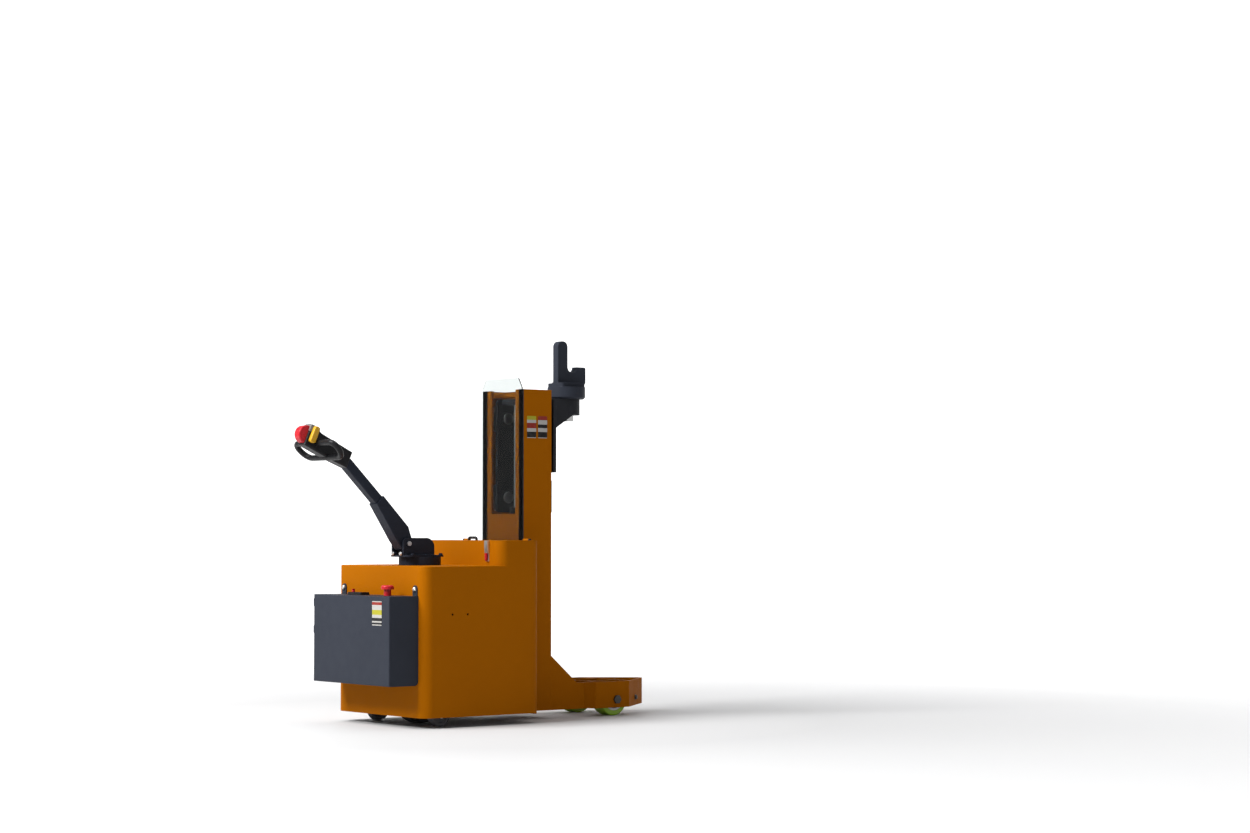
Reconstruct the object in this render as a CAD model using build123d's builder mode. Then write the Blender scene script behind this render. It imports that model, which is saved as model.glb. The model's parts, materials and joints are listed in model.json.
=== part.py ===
# Electric tow tractor: a pedestrian-led tug whose mast lifts a swivelling hook.
# Millimetres. +X points from the tiller to the hook and +Z is up. The origin is on the
# floor, in the middle of the overall length and width.

import os
from math import cos, radians, sin

from build123d import *

os.makedirs("parts", exist_ok=True)

# Fits
RUN_FIT = 0.05  # radial clearance of a running shaft
SEAT_FIT = 0.02  # radial clearance of a fixed pin in its hole
FACE_GAP = 0.5  # gap between flat faces that turn on each other
WHEEL_GAP = 5.0  # free space beside a turning wheel

# Body shell
BODY_FRONT_X = -520.0
BODY_LENGTH = 626.0
BODY_WIDTH = 700.0
BODY_CORNER_R = 47.0
SKIRT_Z = 45.0
DECK_Z = 700.0
DECK_EDGE_R = 5.0
DECK_LENGTH = 402.0
TOWER_RISE = 106.0
SHEET = 4.0
ACCESSORY_HOLE_R = 5.0
ACCESSORY_FIRST = 149.0
ACCESSORY_PITCH = 80.0
ACCESSORY_Z = 490.0

# Floor plate and bulkhead inside the body
FLOOR_Z = 142.0
FLOOR_T = 8.0
WELL_R = 140.0
BULKHEAD_T = 12.0
BULKHEAD_INSET = 50.0
BULKHEAD_DROP = 26.0
MAST_STANDOFF = 46.0

# Battery and its lid
BATTERY_GAP = 6.0
BATTERY_TOP_GAP = 29.0
LID_T = 4.0
LID_HANDLE_LENGTH = 72.0
LID_HANDLE_AHEAD = 14.0
LID_HANDLE_BEND_R = 9.0
LID_HANDLE_RISE = 18.0
LID_HANDLE_BAR_R = 6.0
HINGE_SETBACK = 6.0
HINGE_R = 5.5
HINGE_PIN_R = 2.5
HINGE_LEAF = 40.0
HINGE_LUG = 10.0
HINGE_LIFT = 2.0
HINGE_INSET = 120.0
LATCH_INSET = 94.0
LATCH_WIDTH = 24.0
LATCH_PLATE_T = 3.0
LATCH_CLAW = 12.0
LATCH_STEP = 9.0
LATCH_SHOULDER = 22.0
LATCH_WAIST = 52.0
LATCH_DROP = 88.0
LATCH_GRIP_LENGTH = 34.0
LATCH_GRIP_R = 6.5

# Electrics box on the front
BOX_DEPTH = 150.0
BOX_WIDTH = 612.0
BOX_DROP = 129.0
BOX_HEIGHT = 386.0
BOX_SHEET = 3.0
BOX_EDGE_R = 5.0
BOX_HEEL_R = 20.0
BOX_HINGE_R = 5.0
BOX_HINGE_LENGTH = 34.0
BOX_HINGE_DROPS = (36.0, 156.0)
TAB_WIDTH = 34.0
TAB_T = 5.0
TAB_RISE = 46.0
TAB_BOLT_R = 9.0
TAB_BOLT_HEAD = 6.0
STOP_SETBACK = 80.0
STOP_Y = -170.0
STOP_CAP_R = 28.0
STOP_CAP_T = 18.0
STOP_STEM_R = 16.0
STOP_STEM_T = 28.0
GAUGE_Y = 63.0
GAUGE_LENGTH = 112.0
GAUGE_DEPTH = 56.0
GAUGE_T = 12.0
GAUGE_TAPER = 12.0
KEY_Y = 104.0
KEY_R = 7.0
KEY_T = 14.0

# Mast
MAST_HALF = 155.0
MAST_DEPTH = 156.0
MAST_BOTTOM_Z = 38.0
MAST_TOP_Z = 1495.0
MAST_WEB = 8.0
MAST_FLANGE = 62.0
MAST_FLANGE_T = 11.0
TOP_BAR_T = 25.0
TOP_BAR_DEPTH = 60.0
TOP_BAR_DROP = 6.0
CROSS_PLATE_Z = 930.0
CROSS_PLATE_T = 10.0
FOOT_PLATE_Z = 70.0
FOOT_PLATE_T = 20.0
GUARD_T = 6.0
GUARD_STRIP_T = 6.0
GUARD_STRIP_WIDTH = 28.0
GUARD_TOP_Z = 1547.0
GUARD_CUT_Y = 28.0
GUARD_CUT_Z = 45.0

# Lift cylinder
LIFT_TRAVEL = 360.0
BARREL_R = 30.0
GLAND_R = 35.0
GLAND_T = 30.0
BARREL_TOP_Z = 960.0
ROD_R = 18.0
ROD_ENGAGED = 60.0

# Carriage
LUG_T = 14.0
LUG_GAP = 7.0
LUG_BOTTOM_Z = 938.0
LUG_TOP_Z = 1456.0
LUG_CORNER_R = 16.0
LOWER_TIE_HEIGHT = 145.0
LUG_REAR_GAP = 18.0
FACE_AHEAD = 38.0
FACE_PLATE_T = 16.0
FACE_PLATE_HALF = 120.0
FACE_PLATE_BOTTOM_Z = 1120.0
LIFT_BAR_T = 26.0
LIFT_BAR_DEPTH = 70.0
ROLLER_GAP = 0.5
ROLLER_WIDTH = 36.0
ROLLER_STUB_R = 18.0
SHAFT_HEAD_R = 26.0
SHAFT_HEAD_T = 8.0
SHAFT_HEAD_EDGE = 2.0
ROLLER_UPPER_Z = 1369.0
ROLLER_LOWER_Z = 1006.0
ARM_RIB_T = 16.0
ARM_RIB_Y = 46.0
ARM_RIB_DROP = 150.0

# Coupler
COUPLER_AHEAD = 202.0
HUB_R = 62.0
HUB_Z = (1390.0, 1464.0)
TURNTABLE_R = 88.0
TURNTABLE_T = 56.0
TURNTABLE_EDGE = 8.0
FLANGE_LENGTH = 140.0
FLANGE_WIDTH = 120.0
FLANGE_T = 18.0
FLANGE_CORNER_R = 18.0
KINGPIN_R = 24.0
KINGPIN_NUT_R = 36.0
KINGPIN_NUT_T = 28.0
HOOK_T = 40.0
HOOK_REAR = 64.0
POST_DEPTH = 58.0
POST_RISE = 195.0
POST_TOP_R = 26.0
SADDLE_R = 26.0
SADDLE_RISE = 77.0
BLOCK_LENGTH = 105.0
BLOCK_EDGE_R = 8.0
HOOK_EDGE = 2.5

# Foot and load wheels
FOOT_BOTTOM_Z = 38.0
FOOT_TOP_Z = 158.0
FOOT_WALL = 12.0
FOOT_HALF = 190.0
FOOT_ROOT = 188.0
FOOT_FLARE = 42.0
FOOT_STRAIGHT = 194.0
FOOT_NOSE = 217.0
FOOT_TIP_HALF = 14.0
FOOT_WEB = 10.0
GUSSET_LENGTH = 146.0
GUSSET_RISE = 127.0
LOAD_R = 75.0
LOAD_WIDTH = 75.0
LOAD_HUB_R = 52.0
LOAD_DISH_R = 42.0
LOAD_DISH_DEPTH = 12.0
LOAD_BOSS_R = 25.0
LOAD_SHOULDER_R = 6.0
LOAD_AFTER_FLARE = 123.0
LOAD_AXLE_R = 14.0
LOAD_AXLE_HEAD_R = 21.0
LOAD_AXLE_HEAD_T = 8.0
LOAD_SIDE_GAP = 10.0
LOAD_END_GAP = 14.0

# Drive wheel and its fork
STEER_SETBACK = 212.0
DRIVE_R = 115.0
DRIVE_WIDTH = 75.0
DRIVE_HUB_R = 88.0
DRIVE_DISH_R = 72.0
DRIVE_DISH_DEPTH = 12.0
DRIVE_BOSS_R = 30.0
DRIVE_SHOULDER_R = 7.0
DRIVE_AXLE_R = 15.0
RING_R = 172.0
RING_T = 12.0
CHEEK_T = 12.0
CHEEK_HALF = 50.0
CHEEK_DROP = 32.0
FORK_TOP_GAP = 10.0
MOTOR_R = 70.0
MOTOR_HEIGHT = 190.0
MOTOR_CAP_R = 58.0
MOTOR_CAP_T = 26.0
COLUMN_R = 32.0
COLUMN_GAP = 8.0

# Castors
CASTOR_SETBACK = 118.0
CASTOR_INSET = 110.0
CASTOR_R = 50.0
CASTOR_WIDTH = 36.0
CASTOR_DISH_R = 34.0
CASTOR_DISH_DEPTH = 5.0
CASTOR_BOSS_R = 13.0
CASTOR_SHOULDER_R = 6.0
CASTOR_TRAIL = 32.0
CASTOR_PLATE = 92.0
CASTOR_PLATE_T = 6.0
CASTOR_STEM_R = 10.0
CASTOR_NUT_R = 16.0
CASTOR_NUT_T = 10.0
CASTOR_CROWN_T = 10.0
CASTOR_CROWN_R = 34.0
CASTOR_CHEEK_T = 4.0
CASTOR_AXLE_R = 6.0
CASTOR_END_R = 14.0

# Tiller base and turret
BASE_R = 94.0
BASE_T = 37.0
PLATE_LENGTH = 205.0
PLATE_WIDTH = 155.0
PLATE_CORNER_R = 30.0
PLATE_T = 8.0
PLATE_AHEAD = 14.0
STOP_BLOCK_LENGTH = 20.0
STOP_BLOCK_RISE = 13.0
STOP_BLOCK_T = 16.0
STOP_BOLT_R = 6.0
STOP_BOLT_HEAD = 6.0
TURRET_REAR = 46.0
TURRET_RISE = 76.0
TURRET_HALF = 48.0
TURRET_T = 8.0
TURRET_REAR_R = 42.0
TURRET_FRONT_R = 20.0
TURRET_NOSE = 28.0
PIVOT_AHEAD = 91.0
PIVOT_RISE = 51.0
PIVOT_R = 9.0
PIVOT_HEAD_R = 10.5
PIVOT_HEAD_T = 8.0

# Tiller arm, in a frame that lies along the arm with its origin at the tilt pin
ARM_TILT = 45.0
SLEEVE_HALF = 34.0
SLEEVE_EDGE_R = 4.0
SLEEVE_END = 235.0
SLEEVE_KNEE = 46.0
SLEEVE_BELLY = 28.0
SLEEVE_EYE_R = 34.0
SLEEVE_CREST = 10.0
SLEEVE_CREST_RISE = 31.0
TUBE_OFFSET = 37.0
TUBE_DEPTH = 44.0
TUBE_HALF = 26.0
TUBE_CORNER_R = 6.0
TUBE_START = 120.0
TUBE_END = 467.0
SLEEVE_LAP = 3.0

# Tiller head, in a frame that lies along the head with its origin at the tube's end
HEAD_TILT = 23.0
HEAD_HALF = 31.0
HEAD_LENGTH = 236.0
HEAD_HEEL = 4.0
HEAD_HEEL_BELLY = 25.0
HEAD_TOP_REAR = 49.0
HEAD_CREST = 176.0
HEAD_CREST_TOP = 61.0
HEAD_BROW = 200.0
HEAD_TOP_FRONT = 76.0
HEAD_BELLY = 27.0
HEAD_CHIN = 22.0
HEAD_EDGE_R = 9.0
BUTTON_DEPTH = 40.0
BUTTON_EDGE_R = 6.0
WING_FROM_FRONT = 24.0
WING_LENGTH = 27.0
WING_HEIGHT = 74.0
WING_T = 20.0
WING_CORNER_R = 9.0
WING_EDGE_R = 4.0
WING_MIDDLE = 36.0
LOOP_TILT = 47.0
LOOP_FOOT = 100.0
LOOP_DROP = 22.0
LOOP_R = 13.0
LOOP_STRAIGHT = 104.0
LOOP_REAR_BEND_R = 55.0
LOOP_FRONT_BEND_R = 30.0

# Stations that follow from the sizes above
body_rear_x = BODY_FRONT_X + BODY_LENGTH
body_mid_x = BODY_FRONT_X + BODY_LENGTH / 2
tower_length = BODY_LENGTH - DECK_LENGTH
tower_front_x = BODY_FRONT_X + DECK_LENGTH
tower_mid_x = body_rear_x - tower_length / 2
tower_z = DECK_Z + TOWER_RISE
bulkhead_z = tower_z - BULKHEAD_DROP
steer_x = BODY_FRONT_X + STEER_SETBACK
mast_rear_x = body_rear_x + MAST_STANDOFF
mast_front_x = mast_rear_x + MAST_DEPTH
mast_mid_x = mast_rear_x + MAST_DEPTH / 2
floor_top_z = FLOOR_Z + FLOOR_T
lid_top_z = tower_z + LID_T
box_front_x = BODY_FRONT_X - BOX_DEPTH
box_top_z = DECK_Z - BOX_DROP
box_bottom_z = box_top_z - BOX_HEIGHT
flange_tip_y = MAST_HALF - MAST_FLANGE
lug_outer_y = flange_tip_y - LUG_GAP
coupler_x = mast_front_x + COUPLER_AHEAD
turntable_z = HUB_Z[1]
flange_z = turntable_z + FACE_GAP + TURNTABLE_T
hook_z = flange_z + FLANGE_T
pivot_x = steer_x - PIVOT_AHEAD
plate_z = DECK_Z + FACE_GAP + BASE_T
plate_top_z = plate_z + PLATE_T
pivot_z = plate_top_z + PIVOT_RISE
castor_x = BODY_FRONT_X + CASTOR_SETBACK
castor_side_y = BODY_WIDTH / 2 - CASTOR_INSET
both_sides = {"left": 1, "right": -1}


def tilted(x, z, degrees):
    """A plane lying along -X and up by the angle, its second direction up and back."""
    lean = radians(degrees)
    return Plane((x, 0, z), x_dir=(-cos(lean), 0, sin(lean)), z_dir=(0, 1, 0))


def save(piece, name):
    piece.label = name
    export_step(piece, f"parts/{name}.step")


# Body shell: lower box with a rounded deck edge, battery tower, hollow and open below
with BuildPart() as body_shell:
    with BuildSketch(Plane.XY.offset(SKIRT_Z)):
        with Locations((body_mid_x, 0)):
            RectangleRounded(BODY_LENGTH, BODY_WIDTH, BODY_CORNER_R)
    extrude(amount=DECK_Z - SKIRT_Z)
    fillet(body_shell.faces().sort_by(Axis.Z)[-1].edges(), DECK_EDGE_R)
    with BuildSketch(Plane.XY.offset(SKIRT_Z)):
        with Locations((tower_mid_x, 0)):
            RectangleRounded(tower_length, BODY_WIDTH, BODY_CORNER_R)
    extrude(amount=tower_z - SKIRT_Z)
    with BuildSketch(Plane.XY.offset(SKIRT_Z)):
        with Locations((body_mid_x, 0)):
            RectangleRounded(BODY_LENGTH - 2 * SHEET, BODY_WIDTH - 2 * SHEET, BODY_CORNER_R - SHEET)
    extrude(amount=DECK_Z - SHEET - SKIRT_Z, mode=Mode.SUBTRACT)
    with BuildSketch(Plane.XY.offset(SKIRT_Z)):
        with Locations((tower_mid_x, 0)):
            RectangleRounded(tower_length - 2 * SHEET, BODY_WIDTH - 2 * SHEET, BODY_CORNER_R - SHEET)
    extrude(amount=tower_z - SKIRT_Z, mode=Mode.SUBTRACT)
    with Locations((steer_x, 0, DECK_Z)):
        Cylinder(COLUMN_R + COLUMN_GAP, 4 * SHEET, mode=Mode.SUBTRACT)
    for step in (0, ACCESSORY_PITCH):
        with Locations((BODY_FRONT_X + ACCESSORY_FIRST + step, 0, ACCESSORY_Z)):
            Cylinder(ACCESSORY_HOLE_R, BODY_WIDTH, rotation=(90, 0, 0), mode=Mode.SUBTRACT)
save(body_shell.part, "body_shell")

# Floor plate with the drive well, and the plates that the castors turn in
with BuildPart() as chassis_floor:
    with BuildSketch(Plane.XY.offset(FLOOR_Z)):
        with Locations((body_mid_x, 0)):
            RectangleRounded(BODY_LENGTH - 2 * SHEET, BODY_WIDTH - 2 * SHEET, BODY_CORNER_R)
        with Locations((steer_x, 0)):
            Circle(WELL_R, mode=Mode.SUBTRACT)
    extrude(amount=FLOOR_T)
    for side in both_sides.values():
        with Locations((castor_x, side * castor_side_y, FLOOR_Z)):
            Box(
                CASTOR_PLATE,
                CASTOR_PLATE,
                CASTOR_PLATE_T,
                align=(Align.CENTER, Align.CENTER, Align.MAX),
            )
            Cylinder(CASTOR_STEM_R + RUN_FIT, 2 * (FLOOR_T + CASTOR_PLATE_T), mode=Mode.SUBTRACT)
save(chassis_floor.part, "chassis_floor")

# Bulkhead behind the body, with two posts that carry the mast
with BuildPart() as rear_bulkhead:
    with Locations((body_rear_x, 0, MAST_BOTTOM_Z)):
        Box(
            BULKHEAD_T,
            BODY_WIDTH - 2 * BULKHEAD_INSET,
            bulkhead_z - MAST_BOTTOM_Z,
            align=(Align.MIN, Align.CENTER, Align.MIN),
        )
    for side in both_sides.values():
        with Locations((mast_rear_x, side * (MAST_HALF - MAST_FLANGE / 2), MAST_BOTTOM_Z)):
            Box(
                MAST_STANDOFF,
                MAST_FLANGE,
                bulkhead_z - MAST_BOTTOM_Z,
                align=(Align.MAX, Align.CENTER, Align.MIN),
            )
save(rear_bulkhead.part, "rear_bulkhead")

with BuildPart() as battery_block:
    with Locations((tower_mid_x, 0, floor_top_z)):
        Box(
            tower_length - 2 * SHEET - 2 * BATTERY_GAP,
            BODY_WIDTH - 2 * BODY_CORNER_R,
            tower_z - BATTERY_TOP_GAP - floor_top_z,
            align=(Align.CENTER, Align.CENTER, Align.MIN),
        )
save(battery_block.part, "battery_block")

# Lid: a plate with two hinge barrels behind its rear edge
hinge_x = body_rear_x + HINGE_SETBACK
hinge_z = lid_top_z + HINGE_LIFT
hinge_y = BODY_WIDTH / 2 - HINGE_INSET
with BuildPart() as battery_lid:
    with BuildSketch(Plane.XY.offset(tower_z)):
        with Locations((tower_mid_x, 0)):
            RectangleRounded(tower_length, BODY_WIDTH, BODY_CORNER_R)
        for side in both_sides.values():
            with Locations((body_rear_x, side * hinge_y)):
                Rectangle(2 * HINGE_SETBACK, HINGE_LEAF)
    extrude(amount=LID_T)
    for side in both_sides.values():
        with Locations((hinge_x, side * hinge_y, hinge_z)):
            Cylinder(HINGE_R, HINGE_LEAF, rotation=(90, 0, 0))
            Cylinder(HINGE_PIN_R + RUN_FIT, HINGE_LEAF, rotation=(90, 0, 0), mode=Mode.SUBTRACT)
save(battery_lid.part, "battery_lid")

handle_x = tower_mid_x - LID_HANDLE_AHEAD
handle_end = LID_HANDLE_LENGTH / 2 - LID_HANDLE_BAR_R
handle_axis_z = lid_top_z + LID_HANDLE_RISE - LID_HANDLE_BAR_R
with BuildPart() as lid_handle:
    with BuildLine(Plane.YZ.offset(handle_x)):
        FilletPolyline(
            (-handle_end, lid_top_z),
            (-handle_end, handle_axis_z),
            (handle_end, handle_axis_z),
            (handle_end, lid_top_z),
            radius=LID_HANDLE_BEND_R,
        )
    with BuildSketch(Plane((handle_x, -handle_end, lid_top_z))):
        Circle(LID_HANDLE_BAR_R)
    sweep()
save(lid_handle.part, "lid_handle")

# Fixed hinge halves: a round-ended lug beside each barrel with the pin in it
with BuildPart() as lid_hinges:
    for side in both_sides.values():
        lug_inner_y = hinge_y + HINGE_LEAF / 2 + FACE_GAP
        with BuildSketch(Plane.XZ.offset(-side * (lug_inner_y + HINGE_LUG / 2) - HINGE_LUG / 2)):
            with Locations((hinge_x, (bulkhead_z + hinge_z) / 2)):
                Rectangle(2 * HINGE_R, hinge_z - bulkhead_z)
            with Locations((hinge_x, hinge_z)):
                Circle(HINGE_R)
        extrude(amount=HINGE_LUG)
        with Locations((hinge_x, side * (hinge_y + HINGE_LUG / 2), hinge_z)):
            Cylinder(HINGE_PIN_R, HINGE_LEAF + HINGE_LUG, rotation=(90, 0, 0))
save(lid_hinges.part, "lid_hinges")

# Toggle latches on the tower's front: claw over the lid's edge, lever body and a grip below
latch_y = BODY_WIDTH / 2 - LATCH_INSET
with BuildPart() as latch_bodies:
    for side in both_sides.values():
        with BuildSketch(Plane.XZ.offset(-side * latch_y - LATCH_WIDTH / 2)):
            with BuildLine():
                Polyline(
                    (tower_front_x - FACE_GAP, lid_top_z),
                    (tower_front_x - LATCH_CLAW, lid_top_z),
                    (tower_front_x - LATCH_CLAW, tower_z - LATCH_SHOULDER),
                    (tower_front_x - LATCH_STEP, tower_z - LATCH_WAIST),
                    (tower_front_x - LATCH_PLATE_T, tower_z - LATCH_WAIST),
                    (tower_front_x - LATCH_PLATE_T, tower_z - LATCH_DROP),
                    (tower_front_x, tower_z - LATCH_DROP),
                    (tower_front_x, tower_z - LATCH_SHOULDER),
                    (tower_front_x - FACE_GAP, tower_z - LATCH_SHOULDER),
                    close=True,
                )
            make_face()
        extrude(amount=LATCH_WIDTH)
save(latch_bodies.part, "latch_bodies")

with BuildPart() as latch_grips:
    for side in both_sides.values():
        grip_x = tower_front_x - LATCH_PLATE_T - LATCH_GRIP_R
        with Locations((grip_x, side * latch_y, tower_z - LATCH_WAIST)):
            Cylinder(
                LATCH_GRIP_R,
                LATCH_GRIP_LENGTH,
                align=(Align.CENTER, Align.CENTER, Align.MAX),
            )
    fillet(latch_grips.edges().group_by(Axis.Z)[0], LATCH_GRIP_R - FACE_GAP)
save(latch_grips.part, "latch_grips")

# Electrics box: a tray that is open towards the body, with two strap tabs
with BuildPart() as front_box:
    with BuildSketch(Plane.XZ):
        with BuildLine():
            FilletPolyline(
                (BODY_FRONT_X, (box_top_z + box_bottom_z) / 2),
                (BODY_FRONT_X, box_bottom_z),
                (box_front_x, box_bottom_z),
                radius=BOX_HEEL_R,
            )
            Polyline(
                (box_front_x, box_bottom_z),
                (box_front_x, box_top_z),
                (BODY_FRONT_X, box_top_z),
                (BODY_FRONT_X, (box_top_z + box_bottom_z) / 2),
            )
        make_face()
    extrude(amount=BOX_WIDTH / 2, both=True)
    fillet(front_box.faces().sort_by(Axis.X)[0].edges(), BOX_EDGE_R)
    for drop in BOX_HINGE_DROPS:
        with Locations((box_front_x + BOX_HINGE_R, BOX_WIDTH / 2, box_top_z - drop)):
            Cylinder(BOX_HINGE_R, BOX_HINGE_LENGTH)
    with Locations((BODY_FRONT_X, 0, (box_bottom_z + BOX_HEEL_R + box_top_z - BOX_SHEET) / 2)):
        Box(
            BOX_DEPTH - BOX_EDGE_R,
            BOX_WIDTH - 2 * BOX_SHEET,
            box_top_z - BOX_SHEET - box_bottom_z - BOX_HEEL_R,
            align=(Align.MAX, Align.CENTER, Align.CENTER),
            mode=Mode.SUBTRACT,
        )
    tab_y = BOX_WIDTH / 2 - TAB_WIDTH / 2 - BOX_EDGE_R
    for side in both_sides.values():
        with BuildSketch(Plane.YZ.offset(BODY_FRONT_X)):
            with Locations((side * tab_y, box_top_z + (TAB_RISE - TAB_WIDTH / 2) / 2)):
                Rectangle(TAB_WIDTH, TAB_RISE - TAB_WIDTH / 2)
            with Locations((side * tab_y, box_top_z + TAB_RISE - TAB_WIDTH / 2)):
                Circle(TAB_WIDTH / 2)
        extrude(amount=-TAB_T)
        with Locations((BODY_FRONT_X - TAB_T, side * tab_y, box_top_z + TAB_RISE - TAB_WIDTH / 2)):
            Cylinder(
                TAB_BOLT_R,
                TAB_BOLT_HEAD,
                rotation=(0, 90, 0),
                align=(Align.CENTER, Align.CENTER, Align.MAX),
            )
save(front_box.part, "front_box")

with BuildPart() as estop_button:
    with Locations((box_front_x + STOP_SETBACK, STOP_Y, box_top_z)):
        Cylinder(STOP_STEM_R, STOP_STEM_T, align=(Align.CENTER, Align.CENTER, Align.MIN))
    with Locations((box_front_x + STOP_SETBACK, STOP_Y, box_top_z + STOP_STEM_T)):
        Cylinder(STOP_CAP_R, STOP_CAP_T, align=(Align.CENTER, Align.CENTER, Align.MIN))
    fillet(estop_button.edges().group_by(Axis.Z)[-1], STOP_CAP_T / 2)
save(estop_button.part, "estop_button")

with BuildPart() as charge_gauge:
    with BuildSketch(Plane.XY.offset(box_top_z)):
        with Locations((box_front_x + STOP_SETBACK, GAUGE_Y)):
            RectangleRounded(GAUGE_DEPTH, GAUGE_LENGTH, GAUGE_T)
    extrude(amount=GAUGE_T, taper=GAUGE_TAPER)
save(charge_gauge.part, "charge_gauge")

with BuildPart() as key_switch:
    with Locations((box_front_x + STOP_SETBACK, KEY_Y, box_top_z + GAUGE_T)):
        Cylinder(KEY_R, KEY_T / 2, align=(Align.CENTER, Align.CENTER, Align.MIN))
        Box(
            2 * KEY_R,
            KEY_R / 2,
            KEY_T,
            align=(Align.CENTER, Align.CENTER, Align.MIN),
        )
save(key_switch.part, "key_switch")

# Mast uprights: channels with their webs outside
for name, side in both_sides.items():
    with BuildPart() as mast_upright:
        with BuildSketch(Plane.XY.offset(MAST_BOTTOM_Z)):
            with Locations((mast_mid_x, side * (MAST_HALF - MAST_FLANGE / 2))):
                Rectangle(MAST_DEPTH, MAST_FLANGE)
            with Locations((mast_mid_x, side * (flange_tip_y - MAST_WEB + MAST_FLANGE / 2))):
                Rectangle(MAST_DEPTH - 2 * MAST_FLANGE_T, MAST_FLANGE, mode=Mode.SUBTRACT)
        extrude(amount=MAST_TOP_Z - MAST_BOTTOM_Z)
    save(mast_upright.part, f"mast_upright_{name}")

# Bars that tie the uprights: a top bar between the webs, and a tall cross plate with a foot
web_inner_y = MAST_HALF - MAST_WEB
with BuildPart() as mast_top_bar:
    with Locations((mast_mid_x, 0, MAST_TOP_Z - TOP_BAR_DROP)):
        Box(
            TOP_BAR_DEPTH,
            2 * web_inner_y,
            TOP_BAR_T,
            align=(Align.CENTER, Align.CENTER, Align.MAX),
        )
save(mast_top_bar.part, "mast_top_bar")

with BuildPart() as mast_base_plate:
    with Locations((mast_rear_x, 0, MAST_BOTTOM_Z)):
        Box(
            CROSS_PLATE_T,
            2 * flange_tip_y,
            CROSS_PLATE_Z - MAST_BOTTOM_Z,
            align=(Align.MIN, Align.CENTER, Align.MIN),
        )
    with Locations((mast_rear_x, 0, FOOT_PLATE_Z)):
        Box(
            MAST_DEPTH,
            2 * flange_tip_y,
            FOOT_PLATE_T,
            align=(Align.MIN, Align.CENTER, Align.MIN),
        )
save(mast_base_plate.part, "mast_base_plate")

# Clear guard on two edge strips
guard_x = mast_rear_x - GUARD_STRIP_T - GUARD_T
with BuildPart() as mast_guard:
    with BuildSketch(Plane.YZ.offset(guard_x)):
        with BuildLine():
            Polyline(
                (-MAST_HALF, bulkhead_z),
                (MAST_HALF, bulkhead_z),
                (MAST_HALF, GUARD_TOP_Z - GUARD_CUT_Z),
                (MAST_HALF - GUARD_CUT_Y, GUARD_TOP_Z),
                (GUARD_CUT_Y - MAST_HALF, GUARD_TOP_Z),
                (-MAST_HALF, GUARD_TOP_Z - GUARD_CUT_Z),
                close=True,
            )
        make_face()
    extrude(amount=GUARD_T)
save(mast_guard.part, "mast_guard")

with BuildPart() as guard_strips:
    for side in both_sides.values():
        with Locations((mast_rear_x, side * (MAST_HALF - GUARD_STRIP_WIDTH / 2), bulkhead_z)):
            Box(
                GUARD_STRIP_T,
                GUARD_STRIP_WIDTH,
                MAST_TOP_Z - bulkhead_z,
                align=(Align.MAX, Align.CENTER, Align.MIN),
            )
save(guard_strips.part, "guard_strips")

# Lift cylinder: a barrel on the foot plate, and a rod that stays in it at both ends of travel
lift_bar_z = LUG_TOP_Z - LIFT_BAR_T
rod_bottom_z = BARREL_TOP_Z - ROD_ENGAGED
with BuildPart() as lift_barrel:
    with Locations((mast_mid_x, 0, FOOT_PLATE_Z + FOOT_PLATE_T)):
        Cylinder(
            BARREL_R,
            BARREL_TOP_Z - FOOT_PLATE_Z - FOOT_PLATE_T,
            align=(Align.CENTER, Align.CENTER, Align.MIN),
        )
    with Locations((mast_mid_x, 0, BARREL_TOP_Z)):
        Cylinder(GLAND_R, GLAND_T, align=(Align.CENTER, Align.CENTER, Align.MAX))
        Cylinder(
            ROD_R + RUN_FIT,
            ROD_ENGAGED + LIFT_TRAVEL + WHEEL_GAP,
            align=(Align.CENTER, Align.CENTER, Align.MAX),
            mode=Mode.SUBTRACT,
        )
save(lift_barrel.part, "lift_barrel")

with BuildPart() as lift_rod:
    with Locations((mast_mid_x, 0, rod_bottom_z)):
        Cylinder(
            ROD_R,
            lift_bar_z - rod_bottom_z,
            align=(Align.CENTER, Align.CENTER, Align.MIN),
        )
save(lift_rod.part, "lift_rod")

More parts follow.
